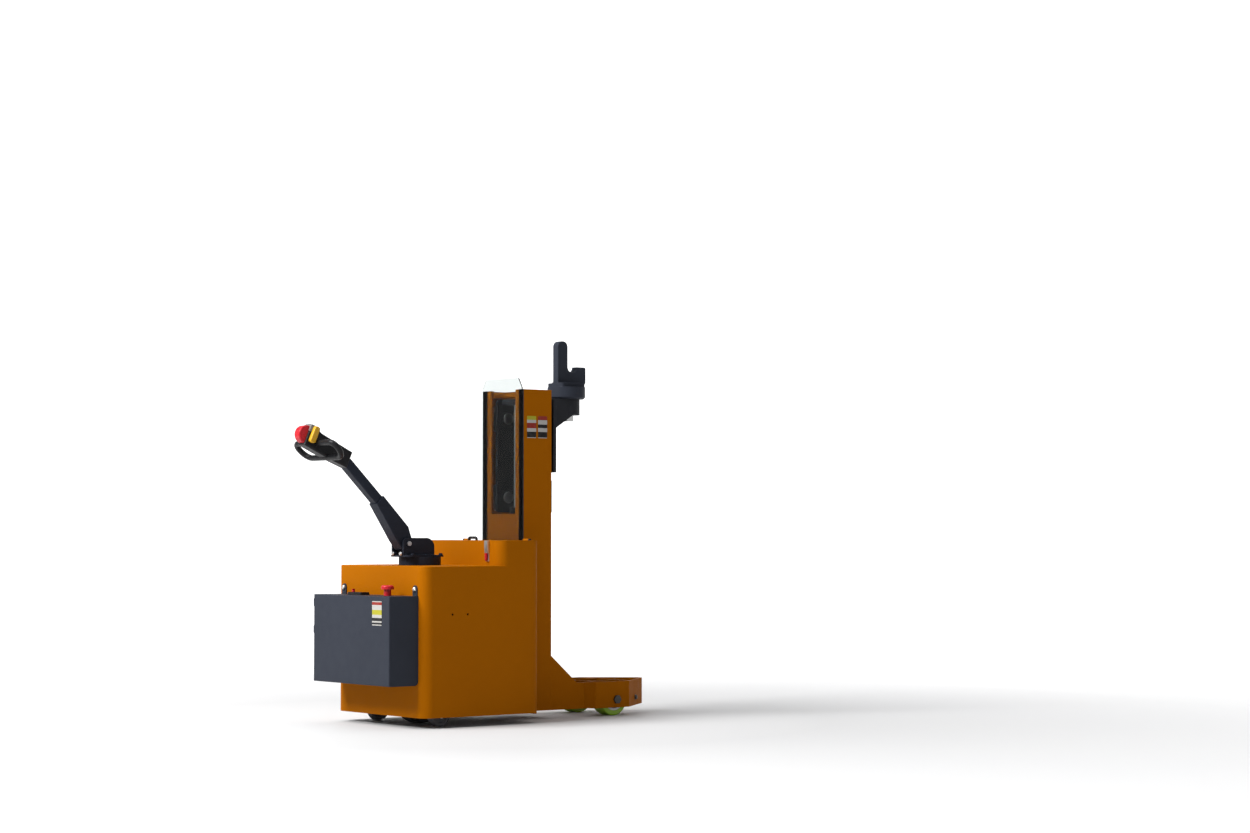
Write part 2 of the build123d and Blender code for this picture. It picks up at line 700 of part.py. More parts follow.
# Carriage: side lugs that reach into the mast, face plate in front, hub and ribs
face_x = mast_front_x + FACE_AHEAD
lug_rear_x = mast_rear_x + LUG_REAR_GAP
with BuildPart() as carriage_frame:
    for side in both_sides.values():
        with BuildSketch(Plane.XZ.offset(-side * (lug_outer_y - LUG_T / 2) - LUG_T / 2)):
            with BuildLine():
                FilletPolyline(
                    (face_x, LUG_BOTTOM_Z),
                    (lug_rear_x, LUG_BOTTOM_Z),
                    (lug_rear_x, LUG_TOP_Z),
                    (face_x, LUG_TOP_Z),
                    radius=LUG_CORNER_R,
                )
                Line((face_x, LUG_TOP_Z), (face_x, LUG_BOTTOM_Z))
            make_face()
        extrude(amount=LUG_T)
    with Locations((mast_mid_x, 0, lift_bar_z)):
        Box(
            LIFT_BAR_DEPTH,
            2 * lug_outer_y,
            LIFT_BAR_T,
            align=(Align.CENTER, Align.CENTER, Align.MIN),
        )
    with Locations((face_x, 0, FACE_PLATE_BOTTOM_Z)):
        Box(
            FACE_PLATE_T,
            2 * FACE_PLATE_HALF,
            LUG_TOP_Z - FACE_PLATE_BOTTOM_Z,
            align=(Align.MIN, Align.CENTER, Align.MIN),
        )
    with Locations((face_x, 0, LUG_BOTTOM_Z)):
        Box(
            FACE_PLATE_T,
            2 * lug_outer_y,
            LOWER_TIE_HEIGHT,
            align=(Align.MIN, Align.CENTER, Align.MIN),
        )
    for side in both_sides.values():
        with BuildSketch(Plane.XZ.offset(-side * ARM_RIB_Y - ARM_RIB_T / 2)):
            with BuildLine():
                Polyline(
                    (face_x, HUB_Z[1]),
                    (coupler_x, HUB_Z[1]),
                    (coupler_x, HUB_Z[0]),
                    (face_x + FACE_PLATE_T, HUB_Z[1] - ARM_RIB_DROP - FACE_PLATE_T),
                    (face_x, HUB_Z[1] - ARM_RIB_DROP - FACE_PLATE_T),
                    close=True,
                )
            make_face()
        extrude(amount=ARM_RIB_T)
    with Locations((coupler_x, 0, HUB_Z[0])):
        Cylinder(HUB_R, HUB_Z[1] - HUB_Z[0], align=(Align.CENTER, Align.CENTER, Align.MIN))
        Cylinder(KINGPIN_R + RUN_FIT, 4 * HUB_R, mode=Mode.SUBTRACT)
save(carriage_frame.part, "carriage_frame")

# Mast rollers on stub shafts, one pair above the other in each channel, with heads inside
roller_r = MAST_DEPTH / 2 - MAST_FLANGE_T - ROLLER_GAP
head_inner_y = lug_outer_y - LUG_T - SHAFT_HEAD_T
with BuildPart() as mast_rollers:
    for side in both_sides.values():
        for height in (ROLLER_UPPER_Z, ROLLER_LOWER_Z):
            with Locations((mast_mid_x, side * (lug_outer_y + LUG_GAP), height)):
                Cylinder(ROLLER_STUB_R, 2 * LUG_GAP, rotation=(90, 0, 0))
            with Locations((mast_mid_x, side * (flange_tip_y + WHEEL_GAP + ROLLER_WIDTH / 2), height)):
                Cylinder(roller_r, ROLLER_WIDTH, rotation=(90, 0, 0))
            with Locations((mast_mid_x, side * (head_inner_y + SHAFT_HEAD_T / 2), height)):
                Cylinder(SHAFT_HEAD_R, SHAFT_HEAD_T, rotation=(90, 0, 0))
    for side in both_sides.values():
        head_y = side * head_inner_y
        rims = mast_rollers.edges().filter_by_position(Axis.Y, head_y - FACE_GAP, head_y + FACE_GAP)
        chamfer(rims, SHAFT_HEAD_EDGE)
save(mast_rollers.part, "mast_rollers")

# Coupler: turntable with kingpin, and a hook plate with post, half-round saddle and block
with BuildPart() as coupler_turntable:
    with Locations((coupler_x, 0, turntable_z + FACE_GAP)):
        Cylinder(TURNTABLE_R, TURNTABLE_T, align=(Align.CENTER, Align.CENTER, Align.MIN))
    chamfer(coupler_turntable.edges().group_by(Axis.Z)[0], TURNTABLE_EDGE)
    with BuildSketch(Plane.XY.offset(flange_z)):
        with Locations((coupler_x, 0)):
            RectangleRounded(FLANGE_LENGTH, FLANGE_WIDTH, FLANGE_CORNER_R)
    extrude(amount=FLANGE_T)
    with Locations((coupler_x, 0, HUB_Z[0] - FACE_GAP)):
        Cylinder(
            KINGPIN_R,
            turntable_z + 2 * FACE_GAP - HUB_Z[0],
            align=(Align.CENTER, Align.CENTER, Align.MIN),
        )
save(coupler_turntable.part, "coupler_turntable")

with BuildPart() as kingpin_nut:
    with BuildSketch(Plane.XY.offset(HUB_Z[0] - FACE_GAP)):
        with Locations((coupler_x, 0)):
            RegularPolygon(KINGPIN_NUT_R, 6)
    extrude(amount=-KINGPIN_NUT_T)
save(kingpin_nut.part, "kingpin_nut")

hook_rear_x = coupler_x - HOOK_REAR
post_front_x = hook_rear_x + POST_DEPTH
saddle_x = post_front_x + SADDLE_R
saddle_z = hook_z + SADDLE_RISE
with BuildPart() as coupler_hook:
    with BuildSketch(Plane.XZ):
        with BuildLine():
            Polyline(
                (hook_rear_x, hook_z),
                (hook_rear_x, hook_z + POST_RISE),
                (post_front_x, hook_z + POST_RISE),
                (post_front_x, saddle_z),
            )
            Polyline(
                (saddle_x + SADDLE_R, saddle_z),
                (post_front_x + BLOCK_LENGTH, saddle_z),
                (post_front_x + BLOCK_LENGTH, hook_z),
                (hook_rear_x, hook_z),
            )
            ThreePointArc(
                (post_front_x, saddle_z),
                (saddle_x, saddle_z - SADDLE_R),
                (saddle_x + SADDLE_R, saddle_z),
            )
        make_face()
    extrude(amount=HOOK_T / 2, both=True)
    post_top = coupler_hook.faces().sort_by(Axis.Z)[-1]
    fillet(post_top.edges().filter_by(Axis.Y), POST_TOP_R)
    block_tip = coupler_hook.edges().filter_by(Axis.Y).sort_by(Axis.X)[-2:]
    fillet(block_tip.sort_by(Axis.Z)[-1], BLOCK_EDGE_R)
    for cheek in (coupler_hook.faces().sort_by(Axis.Y)[0], coupler_hook.faces().sort_by(Axis.Y)[-1]):
        above_flange = cheek.edges().filter_by(lambda edge: edge.center().Z > hook_z + HOOK_EDGE)
        chamfer(above_flange, HOOK_EDGE)
save(coupler_hook.part, "coupler_hook")

# Foot: a ring of plate walls in the plan of a pointed shoe, with wheel webs and gussets
root_end_x = mast_front_x + FOOT_ROOT
flare_end_x = root_end_x + FOOT_FLARE
nose_x = flare_end_x + FOOT_STRAIGHT
tip_x = nose_x + FOOT_NOSE
load_x = flare_end_x + LOAD_AFTER_FLARE
load_y = FOOT_HALF - FOOT_WALL - LOAD_SIDE_GAP - LOAD_WIDTH / 2
web_y = load_y - LOAD_WIDTH / 2 - LOAD_SIDE_GAP - FOOT_WEB / 2
bay_rear_x = load_x - LOAD_R - LOAD_END_GAP
bay_front_x = load_x + LOAD_R + LOAD_END_GAP
with BuildPart() as foot_frame:
    with BuildSketch(Plane.XY.offset(FOOT_BOTTOM_Z)) as foot_plan:
        with BuildLine():
            Polyline(
                (mast_front_x, -MAST_HALF),
                (root_end_x, -MAST_HALF),
                (flare_end_x, -FOOT_HALF),
                (nose_x, -FOOT_HALF),
                (tip_x, -FOOT_TIP_HALF),
                (tip_x, FOOT_TIP_HALF),
                (nose_x, FOOT_HALF),
                (flare_end_x, FOOT_HALF),
                (root_end_x, MAST_HALF),
                (mast_front_x, MAST_HALF),
                close=True,
            )
        make_face()
    extrude(amount=FOOT_TOP_Z - FOOT_BOTTOM_Z)
    with BuildSketch(Plane.XY.offset(FOOT_BOTTOM_Z)):
        add(foot_plan.sketch.moved(Location((0, 0, -FOOT_BOTTOM_Z))))
        offset(amount=-FOOT_WALL, kind=Kind.INTERSECTION, mode=Mode.REPLACE)
        for plate_x in (bay_rear_x - FOOT_WALL / 2, bay_front_x + FOOT_WALL / 2):
            with Locations((plate_x, 0)):
                Rectangle(FOOT_WALL, 2 * FOOT_HALF, mode=Mode.SUBTRACT)
        for side in both_sides.values():
            with Locations((load_x, side * web_y)):
                Rectangle(bay_front_x - bay_rear_x, FOOT_WEB, mode=Mode.SUBTRACT)
    extrude(amount=FOOT_TOP_Z - FOOT_BOTTOM_Z, mode=Mode.SUBTRACT)
    for side in both_sides.values():
        with BuildSketch(Plane.XZ.offset(-side * (MAST_HALF - FOOT_WALL / 2) - FOOT_WALL / 2)):
            with BuildLine():
                Polyline(
                    (mast_front_x, FOOT_TOP_Z),
                    (mast_front_x, FOOT_TOP_Z + GUSSET_RISE),
                    (mast_front_x + GUSSET_LENGTH, FOOT_TOP_Z),
                    close=True,
                )
            make_face()
        extrude(amount=FOOT_WALL)
    with Locations((load_x, 0, LOAD_R)):
        Cylinder(LOAD_AXLE_R + SEAT_FIT, 3 * FOOT_HALF, rotation=(90, 0, 0), mode=Mode.SUBTRACT)
save(foot_frame.part, "foot_frame")

with BuildPart() as load_axle:
    with Locations((load_x, 0, LOAD_R)):
        Cylinder(LOAD_AXLE_R, 2 * FOOT_HALF, rotation=(90, 0, 0))
    for side in both_sides.values():
        with BuildSketch(Plane.XZ.offset(-side * FOOT_HALF)):
            with Locations((load_x, LOAD_R)):
                RegularPolygon(LOAD_AXLE_HEAD_R, 6)
        extrude(amount=-side * LOAD_AXLE_HEAD_T)
save(load_axle.part, "load_axle")


def wheel_hub(hub_r, dish_r, dish_depth, boss_r, bore_r, width, centre):
    """A hub with dished sides and a full-width boss, turned about an axle along Y."""
    half = width / 2
    web = half - dish_depth
    with BuildPart() as hub:
        with BuildSketch(Plane(centre, x_dir=(0, 1, 0), z_dir=(1, 0, 0))):
            with BuildLine():
                Polyline(
                    (-half, bore_r),
                    (-half, boss_r),
                    (-web, boss_r + dish_depth / 2),
                    (-web, dish_r - dish_depth / 2),
                    (-half, dish_r),
                    (-half, hub_r),
                    (half, hub_r),
                    (half, dish_r),
                    (web, dish_r - dish_depth / 2),
                    (web, boss_r + dish_depth / 2),
                    (half, boss_r),
                    (half, bore_r),
                    close=True,
                )
            make_face()
        revolve(axis=Axis(centre, (0, 1, 0)))
    return hub.part


def wheel_tyre(outer_r, inner_r, shoulder_r, width, centre):
    """A band with eased shoulders round a hub."""
    with BuildPart() as band:
        with Locations(centre):
            Cylinder(outer_r, width, rotation=(90, 0, 0))
        fillet(band.edges(), shoulder_r)
        with Locations(centre):
            Cylinder(inner_r, 2 * width, rotation=(90, 0, 0), mode=Mode.SUBTRACT)
    return band.part


for name, side in both_sides.items():
    centre = (load_x, side * load_y, LOAD_R)
    load_hub = wheel_hub(
        LOAD_HUB_R,
        LOAD_DISH_R,
        LOAD_DISH_DEPTH,
        LOAD_BOSS_R,
        LOAD_AXLE_R + RUN_FIT,
        LOAD_WIDTH,
        centre,
    )
    load_tyre = wheel_tyre(LOAD_R, LOAD_HUB_R + SEAT_FIT, LOAD_SHOULDER_R, LOAD_WIDTH, centre)
    save(load_hub, f"load_hub_{name}")
    save(load_tyre, f"load_tyre_{name}")

# Drive unit: ring plate that turns on the floor plate, fork cheeks, axle, motor and column
ring_z = floor_top_z + FACE_GAP
slot_half = DRIVE_WIDTH / 2 + WHEEL_GAP
fork_top_z = 2 * DRIVE_R + FORK_TOP_GAP
motor_z = fork_top_z + CHEEK_T
with BuildPart() as drive_fork:
    with BuildSketch(Plane.XY.offset(ring_z)):
        with Locations((steer_x, 0)):
            Circle(RING_R)
            Rectangle(2 * (DRIVE_R + WHEEL_GAP), 2 * slot_half, mode=Mode.SUBTRACT)
    extrude(amount=RING_T)
    for side in both_sides.values():
        with Locations((steer_x, side * (slot_half + CHEEK_T / 2), DRIVE_R - CHEEK_DROP)):
            Box(
                2 * CHEEK_HALF,
                CHEEK_T,
                motor_z - DRIVE_R + CHEEK_DROP,
                align=(Align.CENTER, Align.CENTER, Align.MIN),
            )
    with Locations((steer_x, 0, fork_top_z)):
        Box(
            2 * CHEEK_HALF,
            2 * slot_half,
            CHEEK_T,
            align=(Align.CENTER, Align.CENTER, Align.MIN),
        )
    with Locations((steer_x, 0, DRIVE_R)):
        Cylinder(DRIVE_AXLE_R, 2 * (slot_half + CHEEK_T), rotation=(90, 0, 0))
save(drive_fork.part, "drive_fork")

with BuildPart() as drive_motor:
    with Locations((steer_x, 0, motor_z)):
        Cylinder(MOTOR_R, MOTOR_HEIGHT, align=(Align.CENTER, Align.CENTER, Align.MIN))
        Cylinder(
            MOTOR_CAP_R,
            MOTOR_HEIGHT + MOTOR_CAP_T,
            align=(Align.CENTER, Align.CENTER, Align.MIN),
        )
        Cylinder(
            COLUMN_R,
            DECK_Z + FACE_GAP - motor_z,
            align=(Align.CENTER, Align.CENTER, Align.MIN),
        )
save(drive_motor.part, "drive_motor")

drive_centre = (steer_x, 0, DRIVE_R)
drive_hub = wheel_hub(
    DRIVE_HUB_R,
    DRIVE_DISH_R,
    DRIVE_DISH_DEPTH,
    DRIVE_BOSS_R,
    DRIVE_AXLE_R + RUN_FIT,
    DRIVE_WIDTH,
    drive_centre,
)
drive_tyre = wheel_tyre(DRIVE_R, DRIVE_HUB_R + SEAT_FIT, DRIVE_SHOULDER_R, DRIVE_WIDTH, drive_centre)
save(drive_hub, "drive_hub")
save(drive_tyre, "drive_tyre")

# Castors: crown and cheeks on a stem, wheel trailing behind the stem
crown_z = FLOOR_Z - CASTOR_PLATE_T - FACE_GAP - CASTOR_CROWN_T
castor_slot = CASTOR_WIDTH / 2 + WHEEL_GAP
axle_x = castor_x + CASTOR_TRAIL
for name, side in both_sides.items():
    castor_y = side * castor_side_y
    with BuildPart() as castor_fork:
        with BuildSketch(Plane.XY.offset(crown_z)):
            with Locations((castor_x, castor_y)):
                Circle(CASTOR_CROWN_R)
            with Locations((castor_x + CASTOR_TRAIL / 2, castor_y)):
                Rectangle(CASTOR_TRAIL, 2 * (castor_slot + CASTOR_CHEEK_T))
        extrude(amount=CASTOR_CROWN_T)
        for way in (1, -1):
            cheek_y = castor_y + way * (castor_slot + CASTOR_CHEEK_T / 2) + CASTOR_CHEEK_T / 2
            with BuildSketch(Plane.XZ.offset(-cheek_y)):
                with BuildLine():
                    Polyline(
                        (castor_x - CASTOR_CROWN_R / 2, crown_z + CASTOR_CROWN_T),
                        (axle_x, crown_z + CASTOR_CROWN_T),
                        (axle_x + CASTOR_END_R, CASTOR_R),
                        (axle_x - CASTOR_END_R, CASTOR_R),
                        close=True,
                    )
                make_face()
                with Locations((axle_x, CASTOR_R)):
                    Circle(CASTOR_END_R)
            extrude(amount=CASTOR_CHEEK_T)
        with Locations((castor_x, castor_y, crown_z)):
            Cylinder(
                CASTOR_STEM_R,
                floor_top_z + CASTOR_NUT_T - crown_z,
                align=(Align.CENTER, Align.CENTER, Align.MIN),
            )
        with Locations((castor_x, castor_y, floor_top_z + FACE_GAP)):
            Cylinder(
                CASTOR_NUT_R,
                CASTOR_NUT_T,
                align=(Align.CENTER, Align.CENTER, Align.MIN),
            )
        with Locations((axle_x, castor_y, CASTOR_R)):
            Cylinder(CASTOR_AXLE_R, 2 * (castor_slot + CASTOR_CHEEK_T), rotation=(90, 0, 0))
    save(castor_fork.part, f"castor_fork_{name}")

    castor_wheel = wheel_hub(
        CASTOR_R,
        CASTOR_DISH_R,
        CASTOR_DISH_DEPTH,
        CASTOR_BOSS_R,
        CASTOR_AXLE_R + RUN_FIT,
        CASTOR_WIDTH,
        (axle_x, castor_y, CASTOR_R),
    )
    tread = castor_wheel.faces().filter_by(GeomType.CYLINDER).sort_by(SortBy.AREA)[-1]
    castor_wheel = castor_wheel.fillet(CASTOR_SHOULDER_R, tread.edges().filter_by(GeomType.CIRCLE))
    save(castor_wheel, f"castor_wheel_{name}")

# Tiller base: drum on the deck, plate with a stop block, and two turret cheeks
plate_mid_x = steer_x - PLATE_AHEAD
plate_front_x = plate_mid_x - PLATE_LENGTH / 2
turret_rear_x = steer_x + TURRET_REAR
turret_front_x = pivot_x - TURRET_NOSE
with BuildPart() as steer_base:
    with Locations((steer_x, 0, DECK_Z + FACE_GAP)):
        Cylinder(BASE_R, BASE_T, align=(Align.CENTER, Align.CENTER, Align.MIN))
    with BuildSketch(Plane.XY.offset(plate_z)):
        with Locations((plate_mid_x, 0)):
            RectangleRounded(PLATE_LENGTH, PLATE_WIDTH, PLATE_CORNER_R)
    extrude(amount=PLATE_T)
    for side in both_sides.values():
        with BuildSketch(Plane.XZ.offset(-side * (TURRET_HALF - TURRET_T / 2) - TURRET_T / 2)):
            with BuildLine():
                FilletPolyline(
                    (turret_front_x, plate_top_z),
                    (turret_front_x, plate_top_z + TURRET_RISE),
                    (pivot_x, plate_top_z + TURRET_RISE),
                    radius=TURRET_FRONT_R,
                )
                FilletPolyline(
                    (pivot_x, plate_top_z + TURRET_RISE),
                    (turret_rear_x, plate_top_z + TURRET_RISE),
                    (turret_rear_x, plate_top_z),
                    radius=TURRET_REAR_R,
                )
                Line((turret_rear_x, plate_top_z), (turret_front_x, plate_top_z))
            make_face()
            with Locations((pivot_x, pivot_z)):
                Circle(PIVOT_R + SEAT_FIT, mode=Mode.SUBTRACT)
        extrude(amount=TURRET_T)
    stop_y = TURRET_HALF - TURRET_T - STOP_BLOCK_T / 2
    for side in both_sides.values():
        with Locations((plate_front_x, side * stop_y, plate_top_z)):
            Box(
                STOP_BLOCK_LENGTH,
                STOP_BLOCK_T,
                STOP_BLOCK_RISE,
                align=(Align.MIN, Align.CENTER, Align.MIN),
            )
        with Locations((plate_front_x, side * stop_y, plate_top_z + STOP_BLOCK_RISE / 2)):
            Cylinder(
                STOP_BOLT_R,
                STOP_BOLT_HEAD,
                rotation=(0, 90, 0),
                align=(Align.CENTER, Align.CENTER, Align.MAX),
            )
save(steer_base.part, "steer_base")

with BuildPart() as tilt_pin:
    with Locations((pivot_x, 0, pivot_z)):
        Cylinder(PIVOT_R, 2 * TURRET_HALF, rotation=(90, 0, 0))
    for side in both_sides.values():
        with Locations((pivot_x, side * (TURRET_HALF + PIVOT_HEAD_T / 2), pivot_z)):
            Cylinder(PIVOT_HEAD_R, PIVOT_HEAD_T, rotation=(90, 0, 0))
save(tilt_pin.part, "tilt_pin")

# Tiller arm: a rectangular tube held in a tapered sleeve that turns on the tilt pin
arm_plane = tilted(pivot_x, pivot_z, ARM_TILT)
tube_top = TUBE_OFFSET + TUBE_DEPTH / 2
tube_bottom = TUBE_OFFSET - TUBE_DEPTH / 2
with BuildPart() as arm_tube:
    with BuildSketch(arm_plane):
        with Locations(((TUBE_START + TUBE_END) / 2, TUBE_OFFSET)):
            Rectangle(TUBE_END - TUBE_START, TUBE_DEPTH)
    extrude(amount=TUBE_HALF, both=True)
    fillet(arm_tube.edges().filter_by(Axis(arm_plane.origin, arm_plane.x_dir)), TUBE_CORNER_R)
save(arm_tube.part, "arm_tube")

with BuildPart() as arm_sleeve:
    with BuildSketch(arm_plane):
        with BuildLine():
            Polyline(
                (-SLEEVE_CREST, SLEEVE_CREST_RISE),
                (SLEEVE_KNEE, tube_top),
                (SLEEVE_END, tube_top + SLEEVE_LAP),
                (SLEEVE_END, tube_bottom - SLEEVE_LAP),
                (SLEEVE_KNEE, -SLEEVE_BELLY),
                (0, -SLEEVE_EYE_R),
                close=True,
            )
        make_face()
        Circle(SLEEVE_EYE_R)
        Circle(PIVOT_R + RUN_FIT, mode=Mode.SUBTRACT)
    extrude(amount=SLEEVE_HALF, both=True)
    for cheek in (arm_sleeve.faces().sort_by(Axis.Y)[0], arm_sleeve.faces().sort_by(Axis.Y)[-1]):
        fillet(cheek.outer_wire().edges(), SLEEVE_EDGE_R)
    add(arm_tube.part, mode=Mode.SUBTRACT)
save(arm_sleeve.part, "arm_sleeve")

# Tiller head: housing, red button in front, wings beside it and a closed grip each side
lean = radians(ARM_TILT)
head_x = pivot_x - TUBE_END * cos(lean) + TUBE_OFFSET * sin(lean)
head_z = pivot_z + TUBE_END * sin(lean) + TUBE_OFFSET * cos(lean)
head_plane = tilted(head_x, head_z, HEAD_TILT)
with BuildPart() as tiller_head:
    with BuildSketch(head_plane):
        with BuildLine():
            Polyline(
                (-HEAD_HEEL, -HEAD_HEEL_BELLY),
                (-HEAD_HEEL, HEAD_TOP_REAR),
                (HEAD_CREST, HEAD_CREST_TOP),
                (HEAD_BROW, HEAD_TOP_FRONT),
                (HEAD_LENGTH, HEAD_TOP_FRONT),
                (HEAD_LENGTH, -HEAD_CHIN),
                (LOOP_FOOT, -HEAD_BELLY),
                close=True,
            )
        make_face()
    extrude(amount=HEAD_HALF, both=True)
    fillet(tiller_head.faces().sort_by(Axis.Y)[-1].edges(), HEAD_EDGE_R)
    fillet(tiller_head.faces().sort_by(Axis.Y)[0].edges(), HEAD_EDGE_R)
    add(arm_tube.part, mode=Mode.SUBTRACT)
save(tiller_head.part, "tiller_head")

button_low = HEAD_EDGE_R - HEAD_CHIN
button_high = HEAD_TOP_FRONT - HEAD_EDGE_R
with BuildPart() as belly_button:
    with BuildSketch(head_plane):
        with BuildLine():
            ThreePointArc(
                (HEAD_LENGTH, button_low),
                (HEAD_LENGTH + BUTTON_DEPTH, (button_low + button_high) / 2),
                (HEAD_LENGTH, button_high),
            )
            Line((HEAD_LENGTH, button_high), (HEAD_LENGTH, button_low))
        make_face()
    extrude(amount=HEAD_HALF - HEAD_EDGE_R, both=True)
    dome = belly_button.faces().sort_by(Axis.X)[0]
    fillet(dome.edges().filter_by(GeomType.CIRCLE), BUTTON_EDGE_R)
save(belly_button.part, "belly_button")

with BuildPart() as throttle_wings:
    for side in both_sides.values():
        with BuildSketch(head_plane.offset(side * HEAD_HALF)):
            with Locations((HEAD_LENGTH - WING_FROM_FRONT, WING_MIDDLE)):
                RectangleRounded(WING_LENGTH, WING_HEIGHT, WING_CORNER_R)
        extrude(amount=side * WING_T)
    for outer in (throttle_wings.faces().sort_by(Axis.Y)[0], throttle_wings.faces().sort_by(Axis.Y)[-1]):
        fillet(outer.edges(), WING_EDGE_R)
save(throttle_wings.part, "throttle_wings")

# Closed grips: each runs out under the head, round the hand and back to the head's side
loop_lean = radians(LOOP_TILT)
loop_plane = Plane(
    head_plane.from_local_coords(Vector(LOOP_FOOT, -LOOP_DROP, 0)),
    x_dir=(-cos(loop_lean), 0, sin(loop_lean)),
    z_dir=(sin(loop_lean), 0, cos(loop_lean)),
)
with BuildPart() as grip_loops:
    for side in both_sides.values():
        with BuildLine(loop_plane) as loop_path:
            out = Line((0, 0), (0, -side * LOOP_STRAIGHT))
            rear_bend = JernArc(out @ 1, out % 1, LOOP_REAR_BEND_R, side * 90)
            front_bend = JernArc(rear_bend @ 1, rear_bend % 1, LOOP_FRONT_BEND_R, side * 90)
            Line(front_bend @ 1, (LOOP_REAR_BEND_R + LOOP_FRONT_BEND_R, 0))
        with BuildSketch(Plane(loop_path.line @ 0, z_dir=loop_path.line % 0)):
            Circle(LOOP_R)
        sweep(path=loop_path.line)
    add(tiller_head.part, mode=Mode.SUBTRACT)
save(grip_loops.part, "grip_loops")
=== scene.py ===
import json
import math

import bmesh
import bpy
from mathutils import Matrix, Vector


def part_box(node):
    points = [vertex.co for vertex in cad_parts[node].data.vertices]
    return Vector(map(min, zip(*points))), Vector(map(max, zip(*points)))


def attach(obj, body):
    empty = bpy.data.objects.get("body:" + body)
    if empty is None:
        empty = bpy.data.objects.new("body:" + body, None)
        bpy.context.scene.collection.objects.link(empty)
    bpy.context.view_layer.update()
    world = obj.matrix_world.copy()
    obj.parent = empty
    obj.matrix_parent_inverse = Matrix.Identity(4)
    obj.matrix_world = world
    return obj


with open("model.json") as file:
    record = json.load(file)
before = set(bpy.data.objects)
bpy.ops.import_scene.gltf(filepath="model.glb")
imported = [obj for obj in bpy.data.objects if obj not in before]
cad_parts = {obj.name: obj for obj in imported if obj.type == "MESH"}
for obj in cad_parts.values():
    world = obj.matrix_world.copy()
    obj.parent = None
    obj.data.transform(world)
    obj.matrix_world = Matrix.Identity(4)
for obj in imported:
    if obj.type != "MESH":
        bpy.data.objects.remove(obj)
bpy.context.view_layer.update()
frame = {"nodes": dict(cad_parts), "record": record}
print("frame loaded:", len(frame["nodes"]), "nodes")


# node helpers that every finish uses
def addNode(tree, kind, values=None, **settings):
    node = tree.nodes.new(kind)
    for key, value in settings.items():
        setattr(node, key, value)
    for socket, value in (values or {}).items():
        node.inputs[socket].default_value = value
    return node


def newFinish(name):
    material = bpy.data.materials.new(name)
    material.use_nodes = True
    tree = material.node_tree
    return material, tree, tree.nodes["Principled BSDF"]


def objectPlace(tree, stretch=(1, 1, 1)):  # Object coordinates, stretched for brushed grain
    place = addNode(tree, "ShaderNodeTexCoord")
    mapping = addNode(tree, "ShaderNodeMapping", {"Scale": stretch})
    tree.links.new(place.outputs["Object"], mapping.inputs["Vector"])
    return mapping.outputs["Vector"]


def noiseAt(tree, scale, detail=3.0, stretch=(1, 1, 1)):
    noise = addNode(tree, "ShaderNodeTexNoise", {"Scale": scale, "Detail": detail})
    tree.links.new(objectPlace(tree, stretch), noise.inputs["Vector"])
    return noise.outputs["Fac"]


def remap(tree, socket, fromLow, fromHigh, low, high):
    node = addNode(
        tree,
        "ShaderNodeMapRange",
        {"From Min": fromLow, "From Max": fromHigh, "To Min": low, "To Max": high},
    )
    tree.links.new(socket, node.inputs["Value"])
    return node.outputs["Result"]


def times(tree, first, second):
    node = addNode(tree, "ShaderNodeMath", operation="MULTIPLY")
    tree.links.new(first, node.inputs[0])
    tree.links.new(second, node.inputs[1])
    return node.outputs["Value"]


def blendColours(tree, factor, first, second):  # either colour may be a socket
    node = addNode(tree, "ShaderNodeMix", data_type="RGBA")
    tree.links.new(factor, node.inputs[0])
    for index, colour in ((6, first), (7, second)):
        if isinstance(colour, tuple):
            node.inputs[index].default_value = (*colour, 1)
        else:
            tree.links.new(colour, node.inputs[index])
    return node.outputs[2]


def edgeMask(tree, radius):  # 1 where the surface turns sharply, 0 on flats
    rounded = addNode(tree, "ShaderNodeBevel", {"Radius": radius}, samples=4)
    flat = addNode(tree, "ShaderNodeNewGeometry")
    turn = addNode(tree, "ShaderNodeVectorMath", operation="DOT_PRODUCT")
    tree.links.new(rounded.outputs["Normal"], turn.inputs[0])
    tree.links.new(flat.outputs["Normal"], turn.inputs[1])
    return remap(tree, turn.outputs["Value"], 0.99, 0.80, 0.0, 1.0)


def relief(tree, shader, height, strength, depth, edgeRadius):  # bump over softly rounded edges
    rounded = addNode(tree, "ShaderNodeBevel", {"Radius": edgeRadius}, samples=4)
    bump = addNode(tree, "ShaderNodeBump", {"Strength": strength, "Distance": depth})
    tree.links.new(height, bump.inputs["Height"])
    tree.links.new(rounded.outputs["Normal"], bump.inputs["Normal"])
    tree.links.new(bump.outputs["Normal"], shader.inputs["Normal"])


# painted sheet and plate
def powderPaint(name, look):
    material, tree, shader = newFinish(name)
    drift = remap(tree, noiseAt(tree, look["driftScale"]), 0.3, 0.7, 0.0, 1.0)
    coat = blendColours(tree, drift, look["colour"], look["shade"])
    # edge flecks in the edge colour: worn paint on the dark finishes, painted highlight along the edges
    # on the orange
    wearAndHighlightFlecks = remap(tree, noiseAt(tree, 160.0, 6.0), 0.52, 0.62, 0.0, look["wearAndHighlightAmount"])
    wearAndHighlightMask = times(tree, edgeMask(tree, look["edge"]), wearAndHighlightFlecks)
    colour = blendColours(tree, wearAndHighlightMask, coat, look["edgeWearAndHighlight"])
    tree.links.new(colour, shader.inputs["Base Color"])
    sheen = remap(tree, noiseAt(tree, 22.0, 5.0), 0.3, 0.7, look["glossy"], look["dull"])
    tree.links.new(sheen, shader.inputs["Roughness"])
    shader.inputs["Specular IOR Level"].default_value = look["shine"]
    relief(tree, shader, noiseAt(tree, look["peel"], 2.0), 0.12, 0.0006, look["edge"])
    return material


